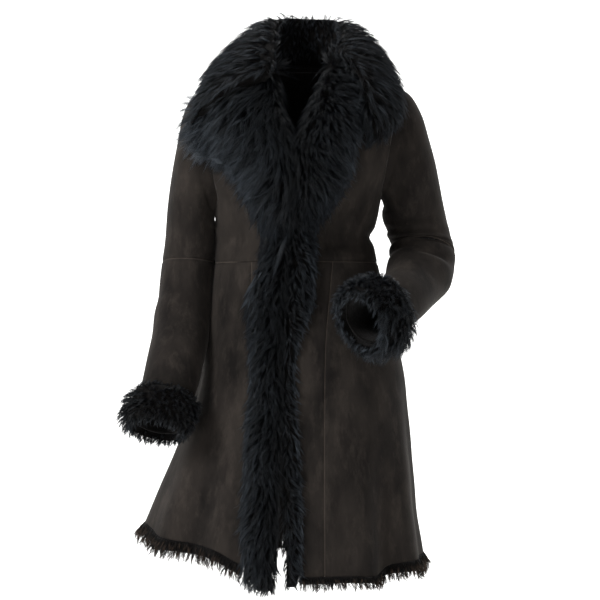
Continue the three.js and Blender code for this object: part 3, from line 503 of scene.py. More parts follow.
@dataclass(frozen=True)
class Suede:
    """Drum-dyed sheepskin suede, buffed on the flesh side: matte nap with clouded and scuffed patches."""

    name: str = "Sheepskin suede, buffed nap"
    dark: str = "#151312"
    base: str = "#292522"
    worn: str = "#4b443e"
    cloud_mm: float = 60.0
    scuff_mm: float = 21.0
    nap_mm: float = 2.6
    roughness: float = 0.93

    def material(self) -> bpy.types.Material:
        """Builds the material: clouds and scuffs in colour, nap in relief."""
        material, tree = new_material(self.name)
        place = add_node(tree, "ShaderNodeTexCoord").outputs["Object"]
        stretch = add_node(
            tree, "ShaderNodeMapping", Vector=place, Scale=(1.0, 1.0, 0.4)
        ).outputs[0]
        cloud = add_node(
            tree, "ShaderNodeTexNoise", Vector=stretch, Scale=1 / (self.cloud_mm * MM), Detail=4.0,
            Roughness=0.6,
        )
        scuff = add_node(
            tree, "ShaderNodeTexNoise", Vector=stretch, Scale=1 / (self.scuff_mm * MM), Detail=6.0,
            Roughness=0.72,
        )
        nap = add_node(
            tree, "ShaderNodeTexNoise", Vector=place, Scale=1 / (self.nap_mm * MM), Detail=3.0, Roughness=0.6
        )
        clouds = add_node(tree, "ShaderNodeValToRGB", Fac=cloud.outputs["Fac"])
        set_ramp(clouds, ((0.32, self.dark), (0.62, self.base)))
        worn = add_node(tree, "ShaderNodeValToRGB", Fac=scuff.outputs["Fac"])
        set_ramp(worn, ((0.5, "#000000"), (0.78, "#9a9a9a")))
        colour = add_node(
            tree, "ShaderNodeMix", {"data_type": "RGBA"}, Factor=worn.outputs[0], A=clouds.outputs[0],
            B=linear(self.worn),
        )
        fine = add_node(
            tree, "ShaderNodeBump", Strength=0.5, Distance=0.6 * MM, Height=nap.outputs["Fac"]
        )
        soft = add_node(
            tree, "ShaderNodeBump", Strength=0.35, Distance=2.2 * MM, Height=scuff.outputs["Fac"],
            Normal=fine.outputs[0],
        )
        shader = add_node(
            tree, "ShaderNodeBsdfPrincipled", Base_Color=next(s for s in colour.outputs if s.enabled),
            Roughness=self.roughness, Normal=soft.outputs[0], Specular_IOR_Level=0.08, Sheen_Weight=0.26,
            Sheen_Roughness=0.38, Sheen_Tint=linear("#8a8682"),
        )
        close_material(tree, shader)
        return material


@dataclass(frozen=True)
class ClippedPile:
    """Clipped wool on the skin's inner side: short dense curls, dull and dark."""

    name: str = "Shearling pile, clipped"
    dark: str = "#060505"
    light: str = "#141211"
    curl_mm: float = 5.0

    def material(self) -> bpy.types.Material:
        """Builds the material: curls in colour and relief."""
        material, tree = new_material(self.name)
        place = add_node(tree, "ShaderNodeTexCoord").outputs["Object"]
        curls = add_node(
            tree, "ShaderNodeTexNoise", Vector=place, Scale=1 / (self.curl_mm * MM), Detail=5.0,
            Roughness=0.75,
            Distortion=1.2,
        )
        colour = add_node(tree, "ShaderNodeValToRGB", Fac=curls.outputs["Fac"])
        set_ramp(colour, ((0.35, self.dark), (0.7, self.light)))
        relief = add_node(
            tree, "ShaderNodeBump", Strength=0.9, Distance=2.5 * MM, Height=curls.outputs["Fac"]
        )
        shader = add_node(
            tree, "ShaderNodeBsdfPrincipled", Base_Color=colour.outputs[0], Roughness=1.0,
            Normal=relief.outputs[0], Specular_IOR_Level=0.04, Sheen_Weight=0.06, Sheen_Roughness=0.5,
        )
        close_material(tree, shader)
        return material


@dataclass(frozen=True)
class SheepHair:
    """Long combed sheep hair, dyed black: glossy fibres, darkest at the root, a little lighter at the tip,
    with a painted bluish highlight mixed into the tips.
    """

    name: str = "Sheep hair, long and dyed"
    root: str = "#030304"
    body: str = "#07080a"
    tip: str = "#0e1012"
    # painted highlight: the bluish grey that the tips are mixed towards where the hair should catch the light
    highlight_tip: str = "#454b52"
    roughness: float = 0.36

    def material(self) -> bpy.types.Material:
        """Builds the material from the hair's own map: the lock's share of painted highlight across, root to
        tip up.

        Returns:
            The material.
        """
        material, tree = new_material(self.name)
        hair_map = add_node(tree, "ShaderNodeUVMap", {"uv_map": HAIR_MAP}).outputs[0]
        split = add_node(tree, "ShaderNodeSeparateXYZ", Vector=hair_map)
        plain = add_node(tree, "ShaderNodeValToRGB", Fac=split.outputs["Y"])
        set_ramp(plain, ((0.05, self.root), (0.3, self.body), (0.7, self.tip)))
        # painted highlight: root to tip towards the bright tip colour, mixed in by each lock's share of it
        highlight_ramp = add_node(tree, "ShaderNodeValToRGB", Fac=split.outputs["Y"])
        set_ramp(highlight_ramp, ((0.1, self.root), (0.26, self.body), (0.6, self.highlight_tip)))
        colour = add_node(
            tree, "ShaderNodeMix", {"data_type": "RGBA"}, Factor=split.outputs["X"], A=plain.outputs[0],
            B=highlight_ramp.outputs[0],
        )
        shader = add_node(
            tree, "ShaderNodeBsdfPrincipled", Base_Color=next(s for s in colour.outputs if s.enabled),
            Roughness=self.roughness, IOR=1.55, Specular_IOR_Level=0.13, Sheen_Weight=0.03,
            Sheen_Roughness=0.3, Sheen_Tint=linear("#9aa4b4"),
        )
        close_material(tree, shader)
        return material


HAIR_MAP = "Hair"


@dataclass(frozen=True)
class Finishes:
    """The coat's finishes, each made once."""

    suede: bpy.types.Material
    seam: bpy.types.Material
    pile: bpy.types.Material
    hair: bpy.types.Material
    hem_hair: bpy.types.Material

    @classmethod
    def make(cls) -> Finishes:
        """Builds every material."""
        return cls(
            suede=Suede().material(),
            # lighter suede on the seam welts: its lighter colours are a painted highlight along the raised
            # seam edges, and its scuffs are wear
            seam=Suede(
                name="Sheepskin suede, rubbed at the seams", dark="#2b2622", base="#3d3732", worn="#5a5149",
                scuff_mm=6.0,
            ).material(),
            pile=ClippedPile().material(),
            hair=SheepHair().material(),
            # hem hair: warm brown tips of its own colour; its brown bright tip colour is a painted highlight,
            # mixed in like the other hair's
            hem_hair=SheepHair(
                name="Sheep hair, short with faded tips", body="#0a0908", tip="#171310", highlight_tip="#4a3c31",
                roughness=0.6,
            ).material(),
        )


def new_piece(name: str, mesh: bpy.types.Mesh, materials: Sequence[bpy.types.Material]) -> bpy.types.Object:
    """Puts a mesh in the scene as a named, smoothly shaded piece with its materials.

    Args:
        name: Name of the piece.
        mesh: Its mesh.
        materials: Its materials, in slot order.

    Returns:
        The piece.
    """
    for material in materials:
        mesh.materials.append(material)
    mesh.polygons.foreach_set("use_smooth", np.ones(len(mesh.polygons), bool))
    piece = bpy.data.objects.new(name, mesh)
    bpy.context.scene.collection.objects.link(piece)
    return piece


def mapped_mesh(
    name: str, surface: Surface, across: int, along: int, inside: Surface, joined: bool = False,
    ended: bool = False,
) -> bpy.types.Mesh:
    """Makes a mesh from a grid whose vertices a surface places.

    Args:
        name: Name of the mesh.
        surface: Gives points in millimetres for shares across and along.
        across: Number of faces across.
        along: Number of faces along.
        inside: Gives points behind the surface, which tell its outer side.
        joined: Whether the surface closes on itself across.
        ended: Whether its open ends are closed with a face.

    Returns:
        The mesh, in metres, with its faces outwards.
    """
    bm = bmesh.new()
    bmesh.ops.create_grid(bm, x_segments=across, y_segments=along, size=0.5)
    flat = np.array([v.co[:2] for v in bm.verts]) + 0.5
    points = surface(flat[:, 0], flat[:, 1]) * MM
    behind = inside(flat[:, 0], flat[:, 1]) * MM
    for vertex, point in zip(bm.verts, points):
        vertex.co = point
    bm.verts.ensure_lookup_table()
    bm.normal_update()
    outward = [f.normal.dot(f.verts[0].co - Vector(behind[f.verts[0].index])) for f in bm.faces]
    if sum(outward) < 0:
        bmesh.ops.reverse_faces(bm, faces=bm.faces[:])
    if joined:
        bmesh.ops.remove_doubles(bm, verts=bm.verts[:], dist=1e-5)
    if ended:
        bmesh.ops.holes_fill(bm, edges=[e for e in bm.edges if e.is_boundary], sides=0)
        bmesh.ops.recalc_face_normals(bm, faces=bm.faces[:])
    mesh = bpy.data.meshes.new(name)
    bm.to_mesh(mesh)
    bm.free()
    return mesh


def settle(piece: bpy.types.Object) -> None:
    """Turns a piece's modifiers into its mesh.

    Args:
        piece: The piece, whose old mesh is dropped.
    """
    graph = bpy.context.evaluated_depsgraph_get()
    shaped = bpy.data.meshes.new_from_object(piece.evaluated_get(graph))
    before = piece.data
    piece.modifiers.clear()
    piece.data = shaped
    shaped.name = before.name + "_settled"
    bpy.data.meshes.remove(before)


def cut_away(piece: bpy.types.Object, cutter: bpy.types.Mesh) -> None:
    """Cuts a closed shape out of a piece.

    Args:
        piece: The piece to cut.
        cutter: The closed shape, dropped afterwards.
    """
    tool = bpy.data.objects.new("cutter", cutter)
    bpy.context.scene.collection.objects.link(tool)
    boolean = piece.modifiers.new("Armhole", "BOOLEAN")
    boolean.operation = "DIFFERENCE"
    boolean.solver = "EXACT"
    boolean.object = tool
    settle(piece)
    bpy.data.objects.remove(tool)


def crowd_edges(share: Array) -> Array:
    """Moves grid lines towards both edges, where the seams need more of them."""
    return share - 0.6 * np.sin(2 * math.pi * share) / (2 * math.pi)


@dataclass
class Cut:
    """Flat size that a skin was cut to, in metres."""

    width: float
    length: float
    area: float


@dataclass
class SuedePanel:
    """A skin of the body between two angles, from one height to another."""

    node: str
    from_angle: Callable[[Array], Array]
    to_angle: Callable[[Array], Array]
    cut: Cut
    across: int
    along: int
    holds: tuple[str, ...] = ()

    @property
    def name(self) -> str:
        """Name of the dressed piece."""
        return f"{self.node}_suede"


@dataclass
class SuedeBody:
    """Bodice and skirt: suede panels with clipped pile behind, sewn along soft sunken seams."""

    form: CoatForm
    finishes: Finishes
    thickness: float = 5.0
    seam_depth: float = 1.6
    seam_width: float = 3.0

    def panels(self) -> list[SuedePanel]:
        """The panels, with what each was cut to."""
        form = self.form
        level = np.zeros_like
        right, left = Side.RIGHT, Side.LEFT
        return [
            SuedePanel("bodice_front_right", lambda z: level(z) - 90, lambda z: form.edge_angle(right, z),
                       Cut(0.30, 0.43, 0.085), 40, 58, ("lapel_right_fur",)),
            SuedePanel("bodice_front_left", lambda z: form.edge_angle(left, z), lambda z: level(z) + 90,
                       Cut(0.32, 0.43, 0.088), 42, 58, ("lapel_left_fur",)),
            SuedePanel("bodice_back", lambda z: level(z) + 90, lambda z: level(z) + 270,
                       Cut(0.54, 0.42, 0.175), 72, 58, ("collar_fur",)),
            SuedePanel("skirt_back_right", lambda z: level(z) - 180, lambda z: level(z) - 90,
                       Cut(0.45, 0.60, 0.20), 48, 74, ("hem_fur_back_right_fur",)),
            SuedePanel("skirt_side_right", lambda z: level(z) - 90, lambda z: form.seam_angle(right, z),
                       Cut(0.33, 0.58, 0.135), 36, 74, ("hem_fur_front_right_fur",)),
            SuedePanel("skirt_front_right", lambda z: form.seam_angle(right, z),
                       lambda z: form.edge_angle(right, z), Cut(0.075, 0.60, 0.035), 10, 74,
                       ("edging_right_fur",)),
            SuedePanel("skirt_front_left", lambda z: form.edge_angle(left, z),
                       lambda z: form.seam_angle(left, z), Cut(0.09, 0.60, 0.045), 12, 74,
                       ("edging_left_fur",)),
            SuedePanel("skirt_side_left", lambda z: form.seam_angle(left, z), lambda z: level(z) + 90,
                       Cut(0.36, 0.60, 0.15), 38, 74, ("hem_fur_front_left_fur",)),
            SuedePanel("skirt_back_left", lambda z: level(z) + 90, lambda z: level(z) + 180,
                       Cut(0.44, 0.60, 0.20), 48, 74, ("hem_fur_back_left_fur",)),
        ]

    def place(self, panel: SuedePanel, u: Array, v: Array, raised: float) -> Array:
        """Points of a panel for shares across and down it.

        Args:
            panel: The panel.
            u: Shares across.
            v: Shares down.
            raised: Distance out of the suede.

        Returns:
            Points in millimetres, in the last axis.
        """
        form = self.form
        u, v = crowd_edges(u), crowd_edges(v)
        skirt = panel.node.startswith("skirt")
        top = form.waist_z - form.seam / 2 if skirt else form.neck_z

        def height(angle: Array) -> Array:
            """Height at a share down the panel."""
            foot = form.hem_z(angle) if skirt else form.waist_z + form.seam / 2
            return mix(top, foot, v)

        def angle_at(z: Array) -> Array:
            """Angle at a share across the panel."""
            gap = np.degrees(form.seam / 2 / form.sections.read(z)["half_width"])
            return mix(panel.from_angle(z) + gap, panel.to_angle(z) - gap, u)

        z = height(angle_at(np.full(u.shape, top)))
        z = height(angle_at(z))
        angle = angle_at(z)
        width = np.abs(np.radians(panel.to_angle(z) - panel.from_angle(z))) * 175.0
        length = abs(top - float(np.mean(z[v > 0.99]) if np.any(v > 0.99) else form.waist_z))
        sunk = bump(u * width, self.seam_width) + bump((1 - u) * width, self.seam_width)
        sunk = sunk + bump((v if skirt else 1 - v) * length, self.seam_width)
        return form.body(angle, z, raised - self.seam_depth * np.minimum(sunk, 1.0))

    def build(self, armholes: dict[str, list[bpy.types.Mesh]]) -> None:
        """Builds and dresses every panel.

        Args:
            armholes: Shapes to cut out of the panels, by node.
        """
        for panel in self.panels():
            mesh = mapped_mesh(
                panel.name,
                lambda u, v, p=panel: self.place(p, u, v, 0.0),
                panel.across,
                panel.along,
                lambda u, v, p=panel: self.place(p, u, v, -4.0),
            )
            piece = new_piece(panel.name, mesh, (self.finishes.suede, self.finishes.pile))
            skin = piece.modifiers.new("Skin and pile", "SOLIDIFY")
            skin.thickness, skin.offset = self.thickness * MM, -1.0
            skin.material_offset = skin.material_offset_rim = 1
            settle(piece)
            for cutter in armholes.get(panel.node, []):
                cut_away(piece, cutter)
            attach(piece, "root")
            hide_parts(panel.node)
            LOG.info("%s: %d faces", panel.name, len(piece.data.polygons))


@dataclass
class Sleeves:
    """Both sleeves: an upper and a lower tube of suede each, joined at the elbow's seam."""

    forms: tuple[SleeveForm, SleeveForm]
    body: CoatForm
    finishes: Finishes
    thickness: float = 5.0
    seam_rows: float = 0.012
    around: int = 48
    upper_cut: Cut = field(default_factory=lambda: Cut(0.43, 0.36, 0.125))
    lower_cut: Cut = field(default_factory=lambda: Cut(0.36, 0.36, 0.118))

    def tube(
        self, form: SleeveForm, first: float, last: float, raised: float, along: int, ended: bool
    ) -> bpy.types.Mesh:
        """A stretch of a sleeve as a tube.

        Args:
            form: The sleeve.
            first: Section row where it starts.
            last: Section row where it ends.
            raised: Distance out of the surface.
            along: Number of faces along it.
            ended: Whether both ends are closed.

        Returns:
            The tube's mesh.
        """
        def seam_dip(row: Array) -> Array:
            """How far the suede sinks at the elbow's seam."""
            return -1.6 * bump((row - form.elbow) * 45.0, 3.0)

        def surface(u: Array, v: Array) -> Array:
            """Points round and along the stretch."""
            row = mix(first, last, v if ended else crowd_edges(v))
            return form.point(row, u * 360.0, raised + (0.0 if ended else seam_dip(row)))

        def inside(u: Array, v: Array) -> Array:
            """Points just within it."""
            return form.point(mix(first, last, v), u * 360.0, raised - 5.0)

        return mapped_mesh("sleeve_tube", surface, self.around, along, inside, joined=True, ended=ended)

    def armhole_cutter(self, form: SleeveForm) -> bpy.types.Mesh:
        """The closed shape of a sleeve, just larger, which the armhole is cut with."""
        return self.tube(form, 0.0, form.end - 4.0, self.body.seam, 40, True)

    def hollow_cutter(self) -> bpy.types.Mesh:
        """The closed shape inside the body's wall, which the sleeve's head is cut with."""
        def surface(u: Array, v: Array) -> Array:
            """Points of the wall's inner side."""
            return self.body.body(u * 360.0, mix(self.body.neck_z, -440.0, v), -self.thickness)

        def inside(u: Array, v: Array) -> Array:
            """Points nearer the middle."""
            return self.body.body(u * 360.0, mix(self.body.neck_z, -440.0, v), -20.0)

        return mapped_mesh("body_hollow", surface, 96, 60, inside, joined=True, ended=True)

    def build(self) -> None:
        for form in self.forms:
            word = form.side.word
            stretches = (
                (f"sleeve_upper_{word}", 0.0, form.elbow - self.seam_rows, self.upper_cut, ()),
                (
                    f"sleeve_lower_{word}", form.elbow + self.seam_rows, form.end, self.lower_cut,
                    (f"cuff_{word}_fur",),
                ),
            )
            for node, first, last, cut, holds in stretches:
                mesh = self.tube(form, first, last, 0.0, int((last - first) * 7), False)
                piece = new_piece(f"{node}_suede", mesh, (self.finishes.suede, self.finishes.pile))
                skin = piece.modifiers.new("Skin and pile", "SOLIDIFY")
                skin.thickness, skin.offset = self.thickness * MM, -1.0
                skin.material_offset = skin.material_offset_rim = 1
                settle(piece)
                if first == 0.0:
                    cut_away(piece, self.hollow_cutter())
                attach(piece, "root")
                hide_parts(node)
                LOG.info("%s: %d faces", piece.name, len(piece.data.polygons))


@dataclass
class SeamWelts:
    """Raised seam edges, coloured lighter than the skins that they join as a painted highlight."""

    form: CoatForm
    sleeves: tuple[SleeveForm, SleeveForm]
    finishes: Finishes
    width: float = 2.4
    height: float = 1.1
    sunk: float = 1.6
    step: float = 7.0

    def strip(self, name: str, line: Surface, across: Surface, length: float) -> bpy.types.Mesh:
        """One welt along a line on the coat.

        Args:
            name: Name of the mesh.
            line: Points of the coat at a share along the line and a distance above the suede.
            across: Points at a share along the line and a distance beside it.
            length: Length of the line.

        Returns:
            A thin closed strip.
        """
        def ring(u: Array, v: Array, size: float) -> Array:
            """Points round the welt's section and along it."""
            turn = u * 2 * math.pi
            base = line(v, -self.sunk + self.height / 2 * size * np.sin(turn))
            aside = unit(across(v, np.full(v.shape, 3.0)) - across(v, np.full(v.shape, -3.0)))
            return base + aside * (self.width / 2 * size * np.cos(turn))[..., None]

        return mapped_mesh(
            name, lambda u, v: ring(u, v, 1.0), 6, max(int(length / self.step), 4), lambda u,
            v: ring(u, v, 0.2),
            joined=True, ended=True,
        )

    def level_line(self, z: float, first: float, last: float, length: float) -> bpy.types.Mesh:
        """A welt round the body at one height, between two angles."""
        form = self.form
        return self.strip(
            "welt",
            lambda v, up: form.body(mix(first, last, v), np.full(v.shape, z), up),
            lambda v, side: form.body(mix(first, last, v), z + side),
            length,
        )

    def falling_line(self, angle_at: Callable[[Array], Array], top: float, foot: float) -> bpy.types.Mesh:
        """A welt down the body at an angle given for each height."""
        form = self.form

        def heights(v: Array) -> Array:
            """Heights along the welt."""
            return mix(top, foot, v)

        return self.strip(
            "welt",
            lambda v, up: form.body(angle_at(heights(v)), heights(v), up),
            lambda v, side: form.body(angle_at(heights(v)) + side / 4.0, heights(v)),
            abs(top - foot),
        )

    def elbow_line(self, sleeve: SleeveForm) -> bpy.types.Mesh:
        """A welt round a sleeve at its elbow seam."""
        return self.strip(
            "welt",
            lambda v, up: sleeve.point(np.full(v.shape, sleeve.elbow), v * 360.0, up),
            lambda v, side: sleeve.point(sleeve.elbow + side / 45.0, v * 360.0),
            400.0,
        )

    def build(self) -> None:
        """Builds every welt and joins them to one piece."""
        form = self.form
        waist = form.waist_z
        front_right = float(form.edge_angle(Side.RIGHT, waist))
        front_left = float(form.edge_angle(Side.LEFT, waist))
        meshes = [self.level_line(waist, front_left, 360.0 + front_right, 1000.0)]
        for side in Side:
            sign = side.value
            meshes.append(
                self.falling_line(lambda z, s=side: form.seam_angle(s, z), waist,
                                  float(form.hem_z(form.seam_angle(side, -900.0))) + 1.0)
            )
            meshes.append(
                self.falling_line(lambda z, q=sign: np.zeros_like(z) + 90.0 * q, -268.0,
                                  float(form.hem_z(90.0 * sign)) + 1.0)
            )
            meshes.append(
                self.falling_line(lambda z, q=sign: form.angle_at(q * mix(64.0, 72.0, (z + 336) / 110.0), z),
                                  -226.0, waist)
            )
        meshes.append(
            self.falling_line(lambda z: np.zeros_like(z) + 180.0, waist, float(form.hem_z(180.0)) + 1.0)
        )
        meshes.extend(self.elbow_line(sleeve) for sleeve in self.sleeves)
        pieces = [new_piece("seam_welts", mesh, (self.finishes.seam,)) for mesh in meshes]
        with bpy.context.temp_override(
            active_object=pieces[0], object=pieces[0], selected_objects=pieces,
            selected_editable_objects=pieces,
        ):
            bpy.ops.object.join()
        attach(pieces[0], "root")
        LOG.info("%s: %d faces", pieces[0].name, len(pieces[0].data.polygons))


@dataclass(frozen=True)
class HairShape:
    """One hair's shape, made from a three-sided cone, which every lock repeats."""

    levels: tuple[float, ...] = (0.0, 0.48, 1.0)
    girth: tuple[float, ...] = (0.9, 1.0, 0.0)

    def template(self) -> tuple[Array, Array, list[list[int]]]:
        """The cone's vertices and faces.

        Returns:
            Each vertex's direction from the middle line, its level's number, and the faces.
        """
        bm = bmesh.new()
        bmesh.ops.create_cone(bm, cap_ends=False, segments=3, radius1=1.0, radius2=0.0, depth=1.0)
        bmesh.ops.translate(bm, verts=bm.verts[:], vec=(0.0, 0.0, 0.5))
        bmesh.ops.remove_doubles(bm, verts=bm.verts[:], dist=1e-4)
        for level in self.levels[1:-1]:
            whole = bm.verts[:] + bm.edges[:] + bm.faces[:]
            bmesh.ops.bisect_plane(bm, geom=whole, plane_co=(0, 0, level), plane_no=(0, 0, 1))
        bmesh.ops.recalc_face_normals(bm, faces=bm.faces[:])
        bm.verts.index_update()
        points = np.array([v.co[:] for v in bm.verts])
        faces = [[v.index for v in f.verts] for f in bm.faces]
        bm.free()
        radial = points[:, :2]
        radial = np.where(points[:, 2:] < 0.999, unit(radial), 0.0)
        number = np.abs(points[:, 2:] - np.array(self.levels)[None, :]).argmin(1)
        return radial, number, faces


@dataclass
class Comb:
    """How a trim's hair grows, in millimetres and shares."""

    locks: int
    hairs: int
    length: float
    lock_width: float
    hair_width: float = 1.3
    lift: float = 0.1
    rise: float = 1.0
    droop: float = 0.1
    scatter: float = 0.3
    clump: float = 0.6
    # strength of the painted highlight mixed into the hair's tips
    highlight_strength: float = 0.5
    seed: int = 1


@dataclass
class FurTrim:
    """A strip of long-haired sheepskin: a dark backing form and the locks combed over it."""

    name: str
    node: str
    comb: Comb
    material: bpy.types.Material
    underfur: bpy.types.Material
    backing: float = 0.5
    around: int = 20
    along: int = 40
    u_range: tuple[float, float] = (0.0, 1.0)
    v_range: tuple[float, float] = (0.0, 1.0)
    closes: bool = False
    end_share: float = 0.0

    def surface(self, u: Array, v: Array, share: float) -> Array:
        """Points at a share of the fur's height over its seat, round and along the strip."""
        raise NotImplementedError

    def flow(self, u: Array, v: Array, points: Array) -> Array:
        """Direction that the hair is combed in."""
        raise NotImplementedError

    def reach(self, u: Array, v: Array) -> Array:
        """Length of the hair as a share of the comb's length."""
        return np.ones(u.shape)

    def highlight_share(self, u: Array, v: Array) -> Array:
        """Share of the comb's painted highlight that the hair has from place to place."""
        return np.full(u.shape, 0.6)

    def roots(self, random: np.random.Generator) -> tuple[Array, Array]:
        """Spreads the locks evenly by area.

        Args:
            random: Seeded generator.

        Returns:
            Shares round and along the strip, one for each lock.
        """
        u_lines, v_lines = np.linspace(*self.u_range, 41), np.linspace(*self.v_range, 161)
        vv, uu = np.meshgrid(v_lines, u_lines, indexing="ij")
        grid = self.surface(uu.ravel(), vv.ravel(), 1.0).reshape(161, 41, 3)
        down, across = grid[1:, :-1] - grid[:-1, :-1], grid[:-1, 1:] - grid[:-1, :-1]
        area = np.linalg.norm(np.cross(down, across), axis=-1)
        total = np.cumsum(area.ravel())
        wanted = (np.arange(self.comb.locks) + random.random(self.comb.locks)) / self.comb.locks * total[-1]
        row, column = np.unravel_index(np.minimum(np.searchsorted(total, wanted), total.size - 1), area.shape)
        u = u_lines[column] + random.random(self.comb.locks) * (u_lines[1] - u_lines[0])
        v = v_lines[row] + random.random(self.comb.locks) * (v_lines[1] - v_lines[0])
        draw = random.random(self.comb.locks)
        v = np.where(draw < self.end_share, self.v_range[0] + 0.002, v)
        v = np.where(draw > 1 - self.end_share, self.v_range[1] - 0.002, v)
        return u, v

    def over_ends(self, u: Array, v: Array, share: float = 0.05) -> Array:
        """Direction out over the strip's ends, which fades away along it.

        Args:
            u: Shares round the section.
            v: Shares along the strip.
            share: Share of the strip that each end takes.

        Returns:
            Directions, zero away from the ends.
        """
        step = 2e-3
        along = unit(self.surface(u, v + step, 1.0) - self.surface(u, v - step, 1.0))
        first = np.clip(1 - (v - self.v_range[0]) / share, 0.0, 1.0)
        last = np.clip(1 - (self.v_range[1] - v) / share, 0.0, 1.0)
        return along * (last - first)[..., None]

    def hair(self) -> bpy.types.Mesh:
        """Builds every lock as one joined mesh.

        Returns:
            The mesh, with each hair's share of painted highlight and its height in its map.
        """
        comb, shape = self.comb, HairShape()
        random = np.random.default_rng(comb.seed)
        u, v = self.roots(random)
        outer, root = self.surface(u, v, 1.0), self.surface(u, v, self.backing)
        step = 1e-3
        along_u = self.surface(u + step, v, 1.0) - self.surface(u - step, v, 1.0)
        along_v = self.surface(u, v + step, 1.0) - self.surface(u, v - step, 1.0)
        normal = unit(np.cross(along_u, along_v))
        normal *= np.sign(np.sum(normal * (outer - root), -1, keepdims=True) + 1e-9)
        wanted = self.flow(u, v, outer)
        combed = unit(wanted - normal * np.sum(wanted * normal, -1, keepdims=True))
        side = np.cross(normal, combed)
        stray = random.normal(0.0, comb.scatter, (len(u), 1))
        combed = unit(combed + side * stray)
        side = np.cross(normal, combed)
        height = np.linalg.norm(outer - root, axis=-1) * comb.rise * random.uniform(0.6, 1.15, len(u))
        length = comb.length * self.reach(u, v) * random.uniform(0.7, 1.2, len(u))
        phase, shade = random.uniform(0, 2 * math.pi, len(u)), random.random(len(u))

        size = (len(u), comb.hairs)
        spot = np.sqrt(random.random(size)) * comb.lock_width / 2
        turn = random.uniform(0, 2 * math.pi, size)
        offset = (
            side[:, None] * (spot * np.cos(turn))[..., None]
            + combed[:, None] * (spot * np.sin(turn) * 1.4)[..., None]
        )
        levels = np.array(shape.levels)
        t = levels[None, None, :] * random.uniform(0.72, 1.06, size)[..., None]
        reach = length[:, None, None] * t
        arch = height[:, None, None] * (1 - (1 - np.minimum(t, 1.0)) ** 2) + comb.lift * reach
        sway = 0.09 * length[:, None, None] * np.sin(phase[:, None, None] + 3.2 * t) * t
        centre = (
            root[:, None, None]
            + combed[:, None, None] * (reach * (0.72 + 0.28 * t))[..., None]
            + normal[:, None, None] * arch[..., None]
            + side[:, None, None] * sway[..., None]
            + offset[:, :, None] * (1 - comb.clump * t)[..., None]
        )
        centre[..., 2] -= comb.droop * length[:, None, None] * t**2
        loose = random.normal(0.0, comb.lock_width * 0.1, (*size, 1, 3))
        centre += loose * t[..., None]

        run = unit(centre[:, :, -1] - centre[:, :, 0])
        first = unit(side[:, None] - run * np.sum(side[:, None] * run, -1, keepdims=True))
        second = np.cross(run, first)
        radial, number, faces = shape.template()
        width = comb.hair_width / 2 * np.array(shape.girth)[number] * random.uniform(0.7, 1.3, (*size, 1))
        points = (
            centre[:, :, number]
            + first[:, :, None] * (radial[:, 0] * width)[..., None]
            + second[:, :, None] * (radial[:, 1] * width)[..., None]
        )
        count = size[0] * size[1]
        # painted highlight: each lock's share of the bright tip colour, from the comb, the place and chance
        highlight_share = comb.highlight_strength * self.highlight_share(u, v) * (0.25 + 1.5 * shade**2)
        highlight_mix = np.clip(highlight_share[:, None] * (1 + random.normal(0, 0.35, size)), 0.0, 1.0)
        corner_level = np.array(levels)[number]
        flat = np.concatenate([np.array(f) for f in faces])
        start = np.concatenate([[0], np.cumsum([len(f) for f in faces])[:-1]])
        loops = (np.arange(count)[:, None] * len(number) + flat[None, :]).ravel()
        starts = (np.arange(count)[:, None] * len(flat) + start[None, :]).ravel()
        mesh = bpy.data.meshes.new(f"{self.name}_hair")
        mesh.vertices.add(count * len(number))
        mesh.vertices.foreach_set("co", (points.reshape(-1, 3) * MM).astype(np.float32).ravel())
        mesh.loops.add(len(loops))
        mesh.loops.foreach_set("vertex_index", loops.astype(np.int32))
        mesh.polygons.add(len(starts))
        mesh.polygons.foreach_set("loop_start", starts.astype(np.int32))
        mesh.update(calc_edges=True)
        hair_map = mesh.uv_layers.new(name=HAIR_MAP)
        pairs = np.stack(
            [np.repeat(highlight_mix.ravel(), len(flat)), np.tile(corner_level[flat], count)], -1
        )
        hair_map.data.foreach_set("uv", pairs.astype(np.float32).ravel())
        return mesh

    def build(self) -> bpy.types.Object:
        """Builds the backing and the hair as one piece and dresses it.

        Returns:
            The piece, riding on the coat.
        """
        backing = mapped_mesh(
            f"{self.name}_backing",
            lambda u, v: self.surface(u, v, self.backing),
            self.around,
            self.along,
            lambda u, v: self.surface(u, v, self.backing * 0.4),
            joined=True,
            ended=not self.closes,
        )
        backing.uv_layers.new(name=HAIR_MAP)
        flat = np.zeros(len(backing.loops) * 2, np.float32)
        backing.uv_layers[HAIR_MAP].data.foreach_set("uv", flat)
        piece = new_piece(self.name, backing, (self.underfur, self.material))
        strands = self.hair()
        strands.polygons.foreach_set("material_index", np.ones(len(strands.polygons), np.int32))
        hair = new_piece(f"{self.name}_hair", strands, (self.underfur, self.material))
        with bpy.context.temp_override(
            active_object=piece, object=piece, selected_objects=[piece, hair],
            selected_editable_objects=[piece, hair],
        ):
            bpy.ops.object.join()
        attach(piece, "root")
        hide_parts(self.node)
        LOG.info("%s: %d triangles", self.name, sum(len(p.vertices) - 2 for p in piece.data.polygons))
        return piece


FUR_PROFILE = Table(
    ("across", "up"),
    ((1, 0), (1.0, 0.25), (0.9, 0.62), (0.7, 0.9), (0.45, 1), (0.2, 0.9), (0.04, 0.66), (0, 0.34), (0.03, 0),
     (0.35, 0), (0.7, 0), (1, 0)),
)


